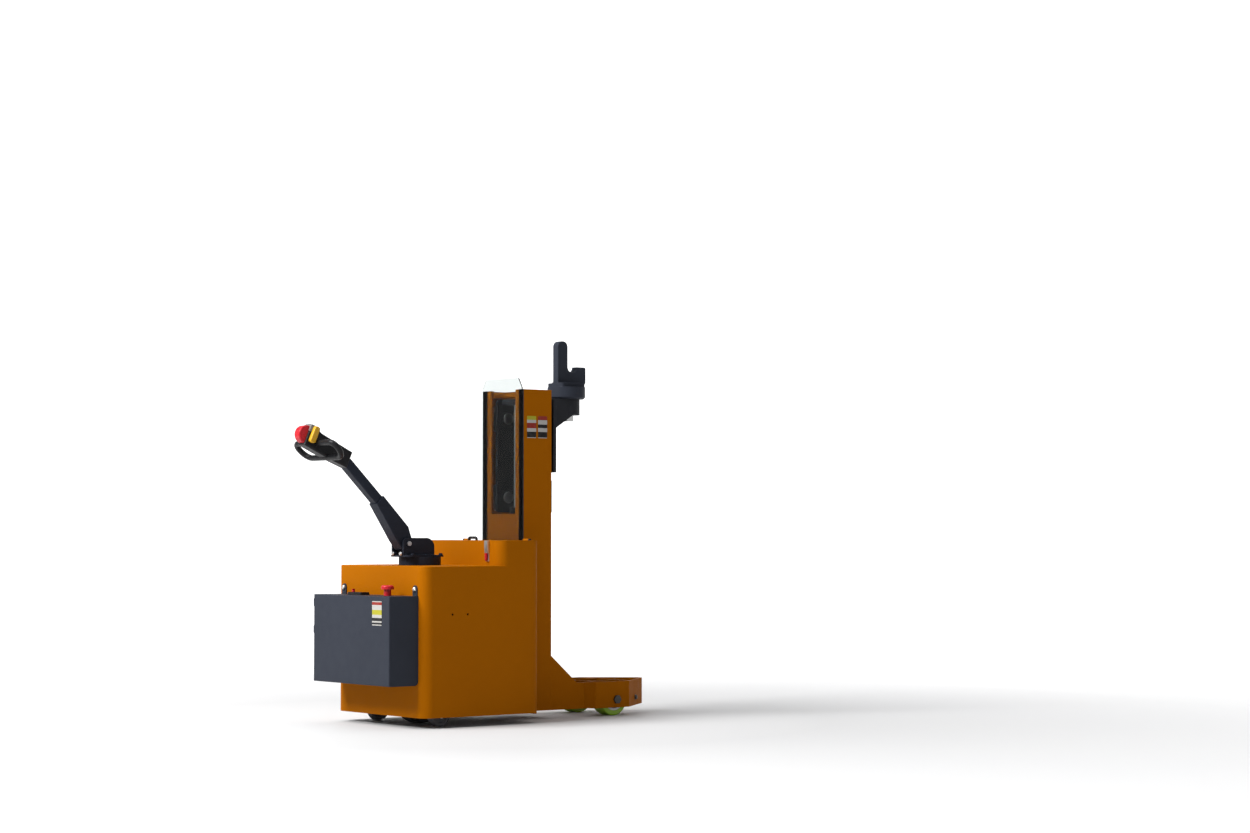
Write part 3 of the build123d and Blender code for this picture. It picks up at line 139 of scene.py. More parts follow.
# moulded handles, caps and covers
def mouldedPlastic(name, look):
    material, tree, shader = newFinish(name)
    mottle = remap(tree, noiseAt(tree, 30.0), 0.3, 0.7, 0.0, 1.0)
    body = blendColours(tree, mottle, look["colour"], look["shade"])
    rubs = remap(tree, noiseAt(tree, 90.0), 0.4, 0.7, 0.0, look["wearAndHighlightAmount"])
    rubbed = times(tree, edgeMask(tree, look["edge"]), rubs)
    tree.links.new(blendColours(tree, rubbed, body, look["edgeWearAndHighlight"]), shader.inputs["Base Color"])
    sheen = remap(tree, noiseAt(tree, 45.0, 4.0), 0.3, 0.7, look["glossy"], look["dull"])
    tree.links.new(sheen, shader.inputs["Roughness"])
    shader.inputs["Specular IOR Level"].default_value = look["shine"]
    relief(tree, shader, noiseAt(tree, look["grain"], 2.0), look["grainStrength"], 0.0005, look["edge"])
    return material


# plated, rolled or turned metal
def bareMetal(name, look):
    material, tree, shader = newFinish(name)
    patch = remap(tree, noiseAt(tree, 18.0, 5.0), 0.35, 0.65, 0.0, 1.0)
    tree.links.new(blendColours(tree, patch, look["colour"], look["shade"]), shader.inputs["Base Color"])
    streaks = noiseAt(tree, look["streak"], 3.0, look["stretch"])
    sheen = remap(tree, streaks, 0.3, 0.7, look["glossy"], look["dull"])
    tree.links.new(sheen, shader.inputs["Roughness"])
    shader.inputs["Metallic"].default_value = 1.0
    relief(tree, shader, streaks, 0.08, 0.0003, look["edge"])
    return material


# cast polyurethane treads and rubber
def castTread(name, look):
    material, tree, shader = newFinish(name)
    scuff = remap(tree, noiseAt(tree, 55.0, 6.0), 0.5, 0.75, 0.0, look["scuff"])
    tree.links.new(blendColours(tree, scuff, look["colour"], look["dust"]), shader.inputs["Base Color"])
    sheen = remap(tree, noiseAt(tree, 24.0), 0.3, 0.7, look["glossy"], look["dull"])
    tree.links.new(sheen, shader.inputs["Roughness"])
    relief(tree, shader, noiseAt(tree, look["grain"], 4.0), 0.2, 0.0006, look["edge"])
    return material


# clear guard sheet
def clearSheet(name, look):
    material, tree, shader = newFinish(name)
    haze = remap(tree, noiseAt(tree, 7.0, 4.0), 0.3, 0.7, look["glossy"], look["dull"])
    tree.links.new(haze, shader.inputs["Roughness"])
    tint = remap(tree, noiseAt(tree, 3.0), 0.3, 0.7, 0.0, 1.0)
    tree.links.new(blendColours(tree, tint, look["colour"], look["shade"]), shader.inputs["Base Color"])
    shader.inputs["Transmission Weight"].default_value = look["clear"]
    shader.inputs["IOR"].default_value = look["ior"]
    relief(tree, shader, noiseAt(tree, 12.0), 0.01, 0.0002, look["edge"])
    return material


finishes = {  # one row for each material slot of the frame
    "orange_paint": (
        powderPaint,
        {"colour": (0.340, 0.101, 0.0003), "shade": (0.322, 0.095, 0.0003),
         # the lighter orange on the edge flecks is painted highlight along the edges
         "edgeWearAndHighlight": (0.56, 0.20, 0.02), "wearAndHighlightAmount": 0.6,
         "driftScale": 2.2, "glossy": 0.50, "dull": 0.62, "shine": 0.02, "peel": 750.0, "edge": 0.0025},
    ),
    "slate_paint": (
        powderPaint,
        {"colour": (0.027, 0.031, 0.043), "shade": (0.024, 0.028, 0.039),
         "edgeWearAndHighlight": (0.12, 0.13, 0.14), "wearAndHighlightAmount": 0.4,
         "driftScale": 3.0, "glossy": 0.42, "dull": 0.54, "shine": 0.1, "peel": 800.0, "edge": 0.002},
    ),
    "tiller_paint": (
        powderPaint,
        {"colour": (0.017, 0.021, 0.033), "shade": (0.014, 0.017, 0.027),
         "edgeWearAndHighlight": (0.08, 0.08, 0.09), "wearAndHighlightAmount": 0.4,
         "driftScale": 8.0, "glossy": 0.40, "dull": 0.55, "shine": 0.12, "peel": 850.0, "edge": 0.002},
    ),
    "carriage_paint": (
        powderPaint,
        {"colour": (0.017, 0.018, 0.023), "shade": (0.012, 0.013, 0.017),
         "edgeWearAndHighlight": (0.16, 0.16, 0.17), "wearAndHighlightAmount": 0.6,
         "driftScale": 5.0, "glossy": 0.45, "dull": 0.6, "shine": 0.2, "peel": 2600.0, "edge": 0.002},
    ),
    "black_paint": (
        powderPaint,
        {"colour": (0.014, 0.014, 0.016), "shade": (0.010, 0.010, 0.012),
         "edgeWearAndHighlight": (0.13, 0.13, 0.14), "wearAndHighlightAmount": 0.5,
         "driftScale": 6.0, "glossy": 0.45, "dull": 0.6, "shine": 0.2, "peel": 700.0, "edge": 0.002},
    ),
    "battery_case": (
        powderPaint,
        {"colour": (0.045, 0.047, 0.052), "shade": (0.035, 0.037, 0.041),
         "edgeWearAndHighlight": (0.2, 0.2, 0.2), "wearAndHighlightAmount": 0.3,
         "driftScale": 4.0, "glossy": 0.5, "dull": 0.65, "shine": 0.2, "peel": 600.0, "edge": 0.003},
    ),
    "red_plastic": (
        mouldedPlastic,
        {"colour": (0.48, 0.015, 0.024), "shade": (0.43, 0.013, 0.021),
         "edgeWearAndHighlight": (0.54, 0.06, 0.06), "wearAndHighlightAmount": 0.4, "shine": 0.22,
         "glossy": 0.22, "dull": 0.36, "grain": 900.0, "grainStrength": 0.08, "edge": 0.002},
    ),
    "yellow_plastic": (
        mouldedPlastic,
        {"colour": (0.60, 0.33, 0.014), "shade": (0.55, 0.295, 0.012),
         "edgeWearAndHighlight": (0.66, 0.45, 0.10), "wearAndHighlightAmount": 0.5, "shine": 0.35,
         "glossy": 0.28, "dull": 0.42, "grain": 900.0, "grainStrength": 0.10, "edge": 0.002},
    ),
    "black_plastic": (
        mouldedPlastic,
        {"colour": (0.012, 0.012, 0.014), "shade": (0.009, 0.009, 0.010),
         "edgeWearAndHighlight": (0.04, 0.04, 0.044), "wearAndHighlightAmount": 0.25, "shine": 0.15,
         "glossy": 0.30, "dull": 0.46, "grain": 1100.0, "grainStrength": 0.25, "edge": 0.002},
    ),
    "edge_rubber": (
        castTread,
        {"colour": (0.014, 0.014, 0.015), "dust": (0.06, 0.058, 0.055), "scuff": 0.5,
         "glossy": 0.6, "dull": 0.8, "grain": 500.0, "edge": 0.001},
    ),
    "drive_tread": (
        castTread,
        {"colour": (0.030, 0.029, 0.028), "dust": (0.12, 0.11, 0.10), "scuff": 0.7,
         "glossy": 0.6, "dull": 0.8, "grain": 300.0, "edge": 0.003},
    ),
    "green_tread": (
        castTread,
        {"colour": (0.30, 0.52, 0.030), "dust": (0.30, 0.38, 0.12), "scuff": 0.4,
         "glossy": 0.38, "dull": 0.55, "grain": 350.0, "edge": 0.003},
    ),
    "castor_tread": (
        castTread,
        {"colour": (0.09, 0.09, 0.10), "dust": (0.16, 0.15, 0.14), "scuff": 0.6,
         "glossy": 0.5, "dull": 0.7, "grain": 400.0, "edge": 0.002},
    ),
    "plated_steel": (
        bareMetal,
        {"colour": (0.82, 0.82, 0.81), "shade": (0.70, 0.70, 0.68), "glossy": 0.32, "dull": 0.48,
         "streak": 120.0, "stretch": (1, 1, 1), "edge": 0.0015},
    ),
    "roller_steel": (
        bareMetal,
        {"colour": (0.46, 0.46, 0.47), "shade": (0.36, 0.36, 0.37), "glossy": 0.28, "dull": 0.46,
         "streak": 40.0, "stretch": (1, 12, 1), "edge": 0.002},
    ),
    "rod_chrome": (
        bareMetal,
        {"colour": (0.78, 0.79, 0.80), "shade": (0.72, 0.73, 0.74), "glossy": 0.08, "dull": 0.18,
         "streak": 60.0, "stretch": (6, 6, 1), "edge": 0.001},
    ),
    "wheel_hub": (
        bareMetal,
        {"colour": (0.50, 0.50, 0.51), "shade": (0.40, 0.40, 0.41), "glossy": 0.34, "dull": 0.55,
         "streak": 50.0, "stretch": (1, 8, 1), "edge": 0.002},
    ),
    "clear_guard": (
        clearSheet,
        {"colour": (0.64, 0.675, 0.665), "shade": (0.60, 0.635, 0.625), "clear": 1.0, "ior": 1.18,
         "glossy": 0.0, "dull": 0.02, "edge": 0.0015},
    ),
}
slotFinish = {slot: maker(slot, look) for slot, (maker, look) in finishes.items()}
# steel darkened with painted shade, for the load axle and the foot nose bolts
shadeDarkenedSteel = {"colour": (0.085, 0.080, 0.076), "shade": (0.060, 0.056, 0.054),
              "glossy": 0.38, "dull": 0.55, "streak": 90.0, "stretch": (1, 1, 1), "edge": 0.0015}
shadeDarkenedFinish = bareMetal("shadeDarkenedSteel", shadeDarkenedSteel)
ownFinish = {  # darker than their slot's plating
    "load_axle": shadeDarkenedFinish,
    "lid_hinges": slotFinish["black_paint"],
}
for row in frame["record"]["subparts"]:
    solid = frame["nodes"][row["node"]]
    solid.data.materials.clear()
    solid.data.materials.append(ownFinish.get(row["node"], slotFinish[row["material_slot"]]))
print("finishes made:", len(slotFinish))


# finished pieces
def addPiece(name, bm, material, body, smoothAngle=35):
    bmesh.ops.recalc_face_normals(bm, faces=bm.faces[:])
    mesh = bpy.data.meshes.new(name)
    bm.to_mesh(mesh)
    bm.free()
    mesh.materials.append(material)
    mesh.shade_smooth()
    mesh.set_sharp_from_angle(angle=math.radians(smoothAngle))
    piece = bpy.data.objects.new(name, mesh)
    bpy.context.scene.collection.objects.link(piece)
    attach(piece, body)
    return piece


def roundEdges(bm, edges, offset, segments):
    bmesh.ops.bevel(
        bm, geom=edges, offset=offset, segments=segments, profile=0.5, affect="EDGES", material=-1
    )


def addBlock(bm, place, size):  # a box of this size about the place
    bmesh.ops.create_cube(bm, size=1, matrix=place @ Matrix.Diagonal((*size, 1)))


def seatAt(place, axis):  # a frame whose Z points along the axis
    turn = Vector((0, 0, 1)).rotation_difference(Vector(axis).normalized())
    return Matrix.Translation(place) @ turn.to_matrix().to_4x4()


def crownEdges(parts, axis):  # rim of the end face that looks along the axis
    ends = {face for vert in parts["verts"] for face in vert.link_faces}
    top = max(ends, key=lambda face: face.normal.dot(axis) * 10 + face.calc_center_median().dot(axis))
    return list(top.edges)


# hexagon bolts with washers
boltRounding = {"washer": 0.4, "head": 0.22}  # shares of the depth


def addHexBolt(bm, place, axis, look):
    axis = Vector(axis).normalized()
    seat = seatAt(place, axis)
    washer = bmesh.ops.create_cone(
        bm, cap_ends=True, segments=28, radius1=look["washerRadius"], radius2=look["washerRadius"],
        depth=look["washerDepth"], matrix=seat @ Matrix.Translation((0, 0, look["washerDepth"] / 2)),
    )
    bm.normal_update()
    roundEdges(bm, crownEdges(washer, axis), look["washerDepth"] * boltRounding["washer"], 2)
    headMiddle = look["washerDepth"] + look["headDepth"] / 2
    head = bmesh.ops.create_cone(
        bm, cap_ends=True, segments=6, radius1=look["headRadius"], radius2=look["headRadius"],
        depth=look["headDepth"], matrix=seat @ Matrix.Translation((0, 0, headMiddle)),
    )
    bm.normal_update()
    roundEdges(bm, crownEdges(head, axis), look["headDepth"] * boltRounding["head"], 3)


footBolts = {"washerRadius": 0.013, "washerDepth": 0.002, "headRadius": 0.0105, "headDepth": 0.0075,
             "place": (0.833, 0.1083, 0.075), "lean": (0.63, 0.777)}
bm = bmesh.new()
for side in (-1, 1):
    x, y, z = footBolts["place"]
    leanX, leanY = footBolts["lean"]
    addHexBolt(bm, (x, side * y, z), (leanX, side * leanY, 0), footBolts)
# the nose bolts take the shade-darkened steel
addPiece("footNoseBolts", bm, shadeDarkenedFinish, "chassis")

plateLow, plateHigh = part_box("steer_base")
baseBolts = {"washerRadius": 0.011, "washerDepth": 0.0018, "headRadius": 0.0085, "headDepth": 0.0065,
             "top": 0.7455, "inset": 0.024, "stopRoom": 0.018, "side": 0.062}
bm = bmesh.new()
for x in (plateLow.x + baseBolts["inset"] + baseBolts["stopRoom"], plateHigh.x - baseBolts["inset"]):
    for side in (-1, 1):
        addHexBolt(bm, (x, side * baseBolts["side"], baseBolts["top"]), (0, 0, 1), baseBolts)
addPiece("tillerBaseBolts", bm, slotFinish["tiller_paint"], "steer")
stopBolts = {"washerRadius": 0.0085, "washerDepth": 0.0012, "headRadius": 0.0078, "headDepth": 0.005,
             "side": 0.032, "height": 0.752}
bm = bmesh.new()
for side in (-1, 1):
    addHexBolt(bm, (plateLow.x, side * stopBolts["side"], stopBolts["height"]), (-1, 0, 0), stopBolts)
addPiece("stopBolts", bm, slotFinish["plated_steel"], "steer")


# button-head screws over the box tabs
def addButtonHead(bm, place, axis, look):
    axis = Vector(axis).normalized()
    seat = seatAt(place, axis) @ Matrix.Translation((0, 0, look["depth"] / 2))
    head = bmesh.ops.create_cone(
        bm, cap_ends=True, segments=32, radius1=look["radius"], radius2=look["radius"],
        depth=look["depth"], matrix=seat,
    )
    bm.normal_update()
    roundEdges(bm, crownEdges(head, axis), look["depth"] * look["crown"], 5)


boxLow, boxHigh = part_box("front_box")
tabScrews = {"radius": 0.0105, "depth": 0.0085, "crown": 0.75,
             "inset": 0.022, "drop": 0.017, "tab": 0.005}
bm = bmesh.new()
for side in (-1, 1):
    x, y = boxHigh.x - tabScrews["tab"], -boxLow.y - tabScrews["inset"]
    addButtonHead(bm, (x, side * y, boxHigh.z - tabScrews["drop"]), (-1, 0, 0), tabScrews)
addPiece("tabScrews", bm, slotFinish["plated_steel"], "chassis")
print("fasteners placed")


# weld beads: a rod cut into rings that swell and shrink in turn
def addWeld(bm, start, end, look):
    start, end = Vector(start), Vector(end)
    run = end - start
    seat = seatAt((start + end) / 2, run)
    rod = bmesh.ops.create_cone(
        bm, cap_ends=True, segments=8, radius1=look["radius"], radius2=look["radius"],
        depth=run.length, matrix=seat,
    )
    along = run.normalized()
    lengthwise = {edge for vert in rod["verts"] for edge in vert.link_edges
                  if abs((edge.verts[0].co - edge.verts[1].co).dot(along)) > run.length / 2}
    cuts = int(run.length / look["ripple"])
    rings = bmesh.ops.subdivide_edges(bm, edges=list(lengthwise), cuts=cuts, use_grid_fill=True)
    for vert in {item for item in rings["geom_inner"] if isinstance(item, bmesh.types.BMVert)}:
        step = round((vert.co - start).dot(along) / run.length * (cuts + 1))
        axisPoint = start + along * (vert.co - start).dot(along)
        vert.co = axisPoint + (vert.co - axisPoint) * (1 + look["swell"] * (step % 2))


hookLow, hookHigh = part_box("coupler_hook")
tableLow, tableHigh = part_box("coupler_turntable")
hookWelds = {"radius": 0.004, "ripple": 0.0022, "swell": 0.22, "reach": 0.066}
tableMiddle = (tableLow.x + tableHigh.x) / 2
bm = bmesh.new()
for y in (hookLow.y, hookHigh.y):
    rear, front = tableMiddle - hookWelds["reach"], min(hookHigh.x, tableMiddle + hookWelds["reach"])
    addWeld(bm, (rear, y, hookLow.z), (front, y, hookLow.z), hookWelds)
addPiece("hookWelds", bm, slotFinish["slate_paint"], "coupler", smoothAngle=80)
turretWelds = {"radius": 0.003, "ripple": 0.0018, "swell": 0.2,
               "half": 0.048, "foot": 0.7455, "ends": (-0.424, -0.264)}
bm = bmesh.new()
for side in (-1, 1):
    rear, front = turretWelds["ends"]
    y = side * turretWelds["half"]
    addWeld(bm, (rear, y, turretWelds["foot"]), (front, y, turretWelds["foot"]), turretWelds)
addPiece("turretWelds", bm, slotFinish["tiller_paint"], "steer", smoothAngle=80)
footLow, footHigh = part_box("foot_frame")
bayMiddle = (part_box("load_tyre_left")[0].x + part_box("load_tyre_left")[1].x) / 2
footWelds = {"radius": 0.0038, "ripple": 0.0022, "swell": 0.2, "lift": 0.002, "top": 0.156,
             "wall": 0.178, "noseWall": 0.1505, "gusset": 0.143, "gussetDrop": 0.012, "bay": 0.101}
bm = bmesh.new()
for side in (-1, 1):
    corners = [  # x, y and top of each upright seam
        (footLow.x, side * footWelds["gusset"], footHigh.z - footWelds["gussetDrop"]),
        (bayMiddle - footWelds["bay"], side * footWelds["wall"], footWelds["top"]),
        (bayMiddle + footWelds["bay"], side * footWelds["noseWall"], footWelds["top"]),
    ]
    for x, y, top in corners:
        addWeld(bm, (x, y, footLow.z + footWelds["lift"]), (x, y, top), footWelds)
addPiece("footWelds", bm, slotFinish["orange_paint"], "chassis", smoothAngle=80)
carriageWelds = {"radius": 0.004, "ripple": 0.0022, "swell": 0.22,
                 "face": 0.054, "rib": 0.054, "ends": (1.302, 1.455)}
bm = bmesh.new()
for side in (-1, 1):
    x, y = footLow.x + carriageWelds["face"], side * carriageWelds["rib"]
    bottom, top = carriageWelds["ends"]
    addWeld(bm, (x, y, bottom), (x, y, top), carriageWelds)
addPiece("carriageWelds", bm, slotFinish["carriage_paint"], "carriage", smoothAngle=80)
print("weld beads laid")


# light cap over the front of the tiller head
headCap = {
    "origin": (-0.703, 0, 1.1529), "tilt": 23.0, "from": 0.197, "to": 0.2372,
    "low": 0.044, "high": 0.0775, "half": 0.0322, "edge": 0.0085,
    "finish": {"colour": (0.19, 0.185, 0.18), "shade": (0.165, 0.16, 0.155),
               "edgeWearAndHighlight": (0.30, 0.30, 0.30), "wearAndHighlightAmount": 0.4, "shine": 0.3, "glossy": 0.22, "dull": 0.34,
               "grain": 900.0, "grainStrength": 0.08, "edge": 0.002},
}
tilt = math.radians(headCap["tilt"])
along = Vector((-math.cos(tilt), 0, math.sin(tilt)))
above = Vector((math.sin(tilt), 0, math.cos(tilt)))
headFrame = Matrix((along, above, along.cross(above))).transposed().to_4x4()
headFrame.translation = headCap["origin"]
capSize = (headCap["to"] - headCap["from"], headCap["high"] - headCap["low"], 2 * headCap["half"])
capMiddle = ((headCap["to"] + headCap["from"]) / 2, (headCap["high"] + headCap["low"]) / 2, 0)
bm = bmesh.new()
addBlock(bm, headFrame @ Matrix.Translation(capMiddle), capSize)
topVerts = {vert for vert in bm.verts if (vert.co - headFrame.translation).dot(above) > capMiddle[1]}
topEdges = [edge for edge in bm.edges if topVerts.issuperset(edge.verts)]
roundEdges(bm, topEdges, headCap["edge"], 5)
addPiece("headCap", bm, mouldedPlastic("capGrey", headCap["finish"]), "tiller")
print("head cap fitted")

# smoked window on the charge gauge
gaugeLow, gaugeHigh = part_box("charge_gauge")
gaugeWindow = {
    "inset": 0.012, "size": (0.030, 0.060, 0.0016), "corner": 0.004, "rim": 0.0006,
    "finish": {"colour": (0.008, 0.011, 0.010), "shade": (0.006, 0.008, 0.008),
               "edgeWearAndHighlight": (0.03, 0.03, 0.03), "wearAndHighlightAmount": 0.2, "shine": 0.5, "glossy": 0.05, "dull": 0.12,
               "grain": 300.0, "grainStrength": 0.02, "edge": 0.0008},
}
windowMiddle = (
    (gaugeLow.x + gaugeHigh.x) / 2,
    gaugeLow.y + gaugeWindow["inset"] + gaugeWindow["size"][1] / 2,
    gaugeHigh.z,
)
bm = bmesh.new()
addBlock(bm, Matrix.Translation(windowMiddle), gaugeWindow["size"])
posts = [edge for edge in bm.edges if edge.verts[0].co.xy == edge.verts[1].co.xy]
roundEdges(bm, posts, gaugeWindow["corner"], 5)
rim = [edge for edge in bm.edges if all(vert.co.z > windowMiddle[2] for vert in edge.verts)]
roundEdges(bm, rim, gaugeWindow["rim"], 2)
addPiece("gaugeWindow", bm, mouldedPlastic("smokedWindow", gaugeWindow["finish"]), "chassis")
print("gauge window fitted")

# battery top under the lid: vent plugs on twelve cells, joined by straps
batteryLow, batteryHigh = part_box("battery_block")
cells = {"rows": 2, "columns": 6, "margin": 0.03,
         "plugRadius": 0.016, "plugTaper": 0.9, "plugDepth": 0.010, "crown": 0.003,
         "strap": (0.020, 0.074, 0.006), "strapEdge": 0.0025, "strapOut": 0.6}
cellDepth = (batteryHigh.x - batteryLow.x - 2 * cells["margin"]) / cells["rows"]
cellWidth = (batteryHigh.y - batteryLow.y - 2 * cells["margin"]) / cells["columns"]
strapMiddle = batteryHigh.z + cells["strap"][2] / 2
plugs, straps = bmesh.new(), bmesh.new()
for row in range(cells["rows"]):
    for column in range(cells["columns"]):
        x = batteryLow.x + cells["margin"] + (row + 0.5) * cellDepth
        y = batteryLow.y + cells["margin"] + (column + 0.5) * cellWidth
        seat = Matrix.Translation((x, y, batteryHigh.z + cells["plugDepth"] / 2))
        plug = bmesh.ops.create_cone(
            plugs, cap_ends=True, segments=24, radius1=cells["plugRadius"],
            radius2=cells["plugRadius"] * cells["plugTaper"], depth=cells["plugDepth"], matrix=seat,
        )
        plugs.normal_update()
        roundEdges(plugs, crownEdges(plug, Vector((0, 0, 1))), cells["crown"], 3)
        if column < cells["columns"] - 1:
            outer = x + (row - 0.5) * cellDepth * cells["strapOut"]
            addBlock(straps, Matrix.Translation((outer, y + cellWidth / 2, strapMiddle)), cells["strap"])
upper = [edge for edge in straps.edges if all(vert.co.z > strapMiddle for vert in edge.verts)]
roundEdges(straps, upper, cells["strapEdge"], 3)
addPiece("ventPlugs", plugs, slotFinish["black_plastic"], "chassis")
addPiece("cellStraps", straps, slotFinish["roller_steel"], "chassis")
print("battery top dressed")


# blank label plates in plain colour bands
def bandedLabel(name, look):
    material, tree, shader = newFinish(name)
    split = addNode(tree, "ShaderNodeSeparateXYZ")
    tree.links.new(objectPlace(tree), split.inputs["Vector"])
    height = remap(tree, split.outputs["Z"], look["low"], look["high"], 0.0, 1.0)
    bands = addNode(tree, "ShaderNodeValToRGB")
    bands.color_ramp.interpolation = "CONSTANT"
    points = bands.color_ramp.elements
    for index, (start, colour) in enumerate(look["bands"]):
        point = points[index] if index < 2 else points.new(start)
        point.position = start
        point.color = (*colour, 1)
    tree.links.new(height, bands.inputs["Fac"])
    fade = remap(tree, noiseAt(tree, 60.0), 0.35, 0.75, 0.0, 0.08)
    faded = blendColours(tree, fade, bands.outputs["Color"], look["fade"])
    tree.links.new(faded, shader.inputs["Base Color"])
    tree.links.new(remap(tree, noiseAt(tree, 25.0), 0.3, 0.7, 0.3, 0.45), shader.inputs["Roughness"])
    shader.inputs["Specular IOR Level"].default_value = look["shine"]
    relief(tree, shader, noiseAt(tree, 220.0), 0.05, 0.0003, 0.0005)
    return material


def addLabel(name, middle, size, axis, look, body):  # thin plate with rounded corners
    bm = bmesh.new()
    addBlock(bm, Matrix.Translation(middle), size)
    thin = max(range(3), key=lambda index: abs(axis[index]))
    posts = [edge for edge in bm.edges
             if abs((edge.verts[0].co - edge.verts[1].co)[thin]) > size[thin] / 2]
    roundEdges(bm, posts, look["corner"], 4)
    labelLook = dict(look, low=middle[2] - size[2] / 2, high=middle[2] + size[2] / 2)
    return addPiece(name, bm, bandedLabel(name + "Bands", labelLook), body)


ink, card = (0.008, 0.008, 0.009), (0.40, 0.39, 0.37)
red, amber = (0.24, 0.022, 0.014), (0.36, 0.33, 0.02)
labelDepth = 0.0008
boxLabel = {
    "middle": (boxLow.x - labelDepth / 2, -0.2095, 0.4975), "size": (labelDepth, 0.075, 0.105),
    "corner": 0.004, "fade": (0.3, 0.3, 0.29), "shine": 0.12,
    "bands": [(0.0, card), (0.04, ink), (0.12, card), (0.18, ink), (0.31, card), (0.44, amber),
              (0.64, card), (0.84, red), (0.96, card)],
}
addLabel("boxLabel", boxLabel["middle"], boxLabel["size"], (-1, 0, 0), boxLabel, "chassis")
mastLow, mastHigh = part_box("mast_upright_right")
mastLabels = {
    "height": 1.324, "size": (0.051, labelDepth, 0.100),
    "corner": 0.004, "fade": (0.3, 0.29, 0.28), "shine": 0.12,
    "row": [
        (0.1955, [(0.0, card), (0.03, ink), (0.28, card), (0.44, red), (0.68, card), (0.82, amber)]),
        (0.2575, [(0.0, card), (0.03, ink), (0.28, card), (0.46, ink), (0.62, card), (0.82, red)]),
    ],
}
for index, (x, bands) in enumerate(mastLabels["row"]):
    middle = (x, mastLow.y - labelDepth / 2, mastLabels["height"])
    look = dict(mastLabels, bands=bands)
    addLabel(f"mastLabel{index + 1}", middle, mastLabels["size"], (0, -1, 0), look, "chassis")
print("label plates placed")


# studio: a pale bowl, soft lamps and the camera
shot = {"place": (-7.023, -9.979, 0.865), "heading": (0.620, 0.785), "rise": 2.38, "lens": 77.33}
studio = {"radius": 16.0, "bend": 3.0, "wall": 9.0, "steps": 96, "glowFrom": (1.6, 6.0),
          "glowBehind": (-12.0, 8.0), "glow": (0.25, 1.0), "glowBeside": (6.6, 8.5), "glowLeast": 0.3,
          "tone": (0.60, 0.60, 0.60), "toneDrift": (0.59, 0.59, 0.595), "dull": 0.6, "shine": 0.1,
          "curve": 8, "air": (0.95, 0.97, 1.0, 1), "airStrength": 0.10}
bm = bmesh.new()
spine = [bm.verts.new((x, 0, 0)) for x in (0.0, studio["radius"] - studio["bend"])]
profile = [bm.edges.new(spine)]
for step in range(1, studio["curve"] + 1):
    angle = math.radians(90 * step / studio["curve"])
    x = studio["radius"] - studio["bend"] + studio["bend"] * math.sin(angle)
    spine.append(bm.verts.new((x, 0, studio["bend"] * (1 - math.cos(angle)))))
    profile.append(bm.edges.new(spine[-2:]))
spine.append(bm.verts.new((studio["radius"], 0, studio["wall"])))
profile.append(bm.edges.new(spine[-2:]))
bmesh.ops.spin(
    bm, geom=spine + profile, cent=(0, 0, 0), axis=(0, 0, 1), angle=math.tau, steps=studio["steps"],
    use_merge=True,
)
bmesh.ops.remove_doubles(bm, verts=bm.verts[:], dist=0.0001)
bmesh.ops.recalc_face_normals(bm, faces=bm.faces[:])
floorMesh = bpy.data.meshes.new("studioFloor")
bm.to_mesh(floorMesh)
bm.free()
floorMesh.shade_smooth()
floorPiece = bpy.data.objects.new("studioFloor", floorMesh)
bpy.context.scene.collection.objects.link(floorPiece)
floorFinish, floorTree, floorShader = newFinish("paleFloor")
floorTone = remap(floorTree, noiseAt(floorTree, 0.6), 0.3, 0.7, 0.0, 1.0)
floorColour = blendColours(floorTree, floorTone, studio["tone"], studio["toneDrift"])
floorTree.links.new(floorColour, floorShader.inputs["Base Color"])
floorShader.inputs["Roughness"].default_value = studio["dull"]
floorShader.inputs["Specular IOR Level"].default_value = studio["shine"]
floorShader.inputs["Emission Color"].default_value = (1, 1, 1, 1)
away = addNode(floorTree, "ShaderNodeVectorMath", operation="LENGTH")
behind = addNode(floorTree, "ShaderNodeVectorMath", operation="DOT_PRODUCT")
behind.inputs[1].default_value = (*shot["heading"], -0.8)
beside = addNode(floorTree, "ShaderNodeVectorMath", operation="DOT_PRODUCT")
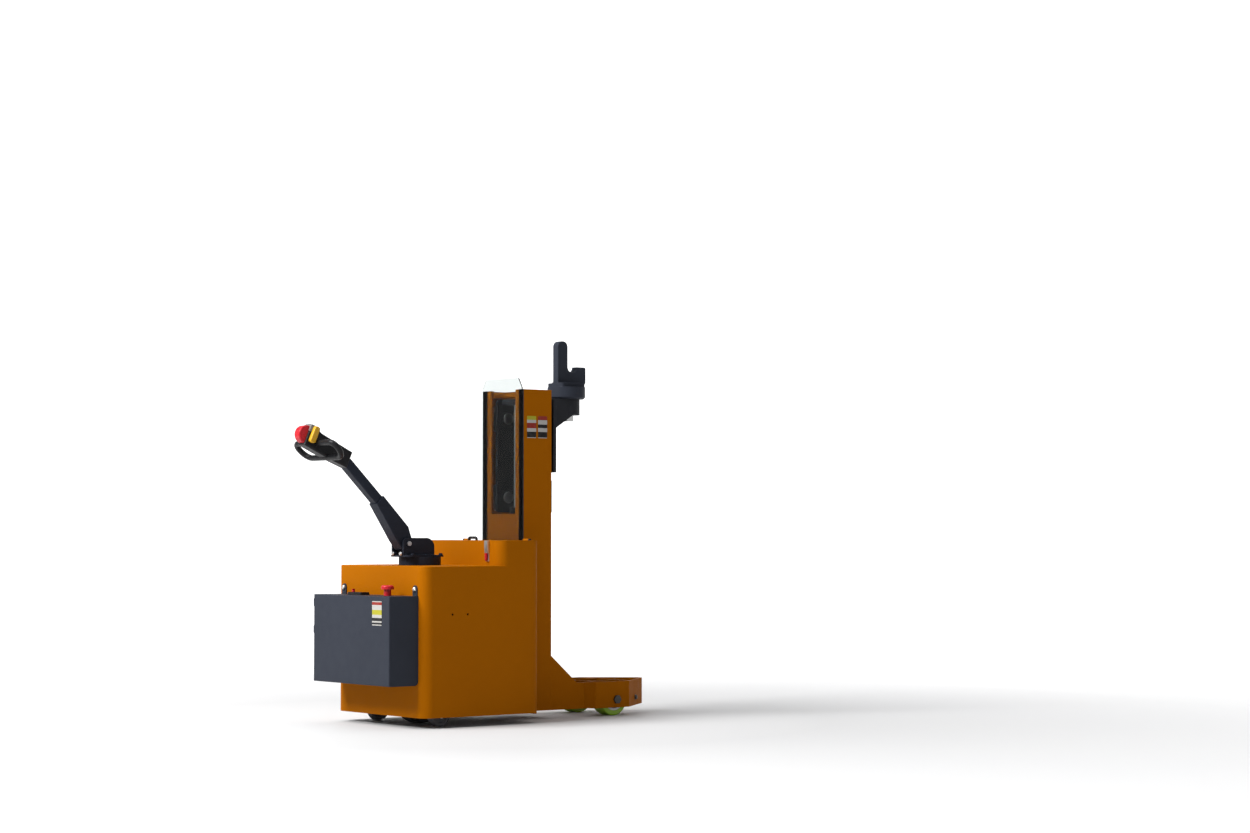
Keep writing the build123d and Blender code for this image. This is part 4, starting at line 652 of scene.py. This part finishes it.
beside.inputs[1].default_value = (shot["heading"][1], -shot["heading"][0], 0)
for measure in (away, behind, beside):
    floorTree.links.new(objectPlace(floorTree), measure.inputs[0])
sideways = addNode(floorTree, "ShaderNodeMath", operation="ABSOLUTE")
floorTree.links.new(beside.outputs["Value"], sideways.inputs[0])
outward = remap(floorTree, away.outputs["Value"], *studio["glowFrom"], 0.0, 1.0)
backward = remap(floorTree, behind.outputs["Value"], *studio["glowBehind"], *studio["glow"])
inView = remap(floorTree, sideways.outputs["Value"], *studio["glowBeside"], 1.0, studio["glowLeast"])
glow = times(floorTree, times(floorTree, outward, backward), inView)
floorTree.links.new(glow, floorShader.inputs["Emission Strength"])
floorMesh.materials.append(floorFinish)

world = bpy.data.worlds.new("studioAir")
world.use_nodes = True
backdrop = world.node_tree.nodes["Background"]
backdrop.inputs["Color"].default_value = studio["air"]
backdrop.inputs["Strength"].default_value = studio["airStrength"]
bpy.context.scene.world = world

lamps = {  # place, aim, size, power
    "keyLamp": ((-6.0, 0.9, 6.2), (0, 0, 0.8), 4.2, 1180.0),
    "topLamp": ((0.8, 0.3, 7.0), (0.3, 0, 0.6), 6.0, 190.0),
}
for name, (place, aim, size, power) in lamps.items():
    lamp = bpy.data.lights.new(name, "AREA")
    lamp.size = size
    lamp.energy = power
    lampObject = bpy.data.objects.new(name, lamp)
    lampObject.location = place
    lampObject.rotation_euler = (Vector(aim) - Vector(place)).to_track_quat("-Z", "Y").to_euler()
    lampObject.visible_camera = False
    bpy.context.scene.collection.objects.link(lampObject)

camera = bpy.data.cameras.new("photoCamera")
camera.lens = shot["lens"]
camera.sensor_width = 36.0
cameraObject = bpy.data.objects.new("photoCamera", camera)
cameraObject.location = shot["place"]
ahead = Vector((*shot["heading"], 0)).normalized() + Vector((0, 0, math.tan(math.radians(shot["rise"]))))
cameraObject.rotation_euler = ahead.to_track_quat("-Z", "Y").to_euler()
bpy.context.scene.collection.objects.link(cameraObject)
bpy.context.scene.camera = cameraObject
bpy.context.scene.view_settings.view_transform = "Standard"
print("studio ready")
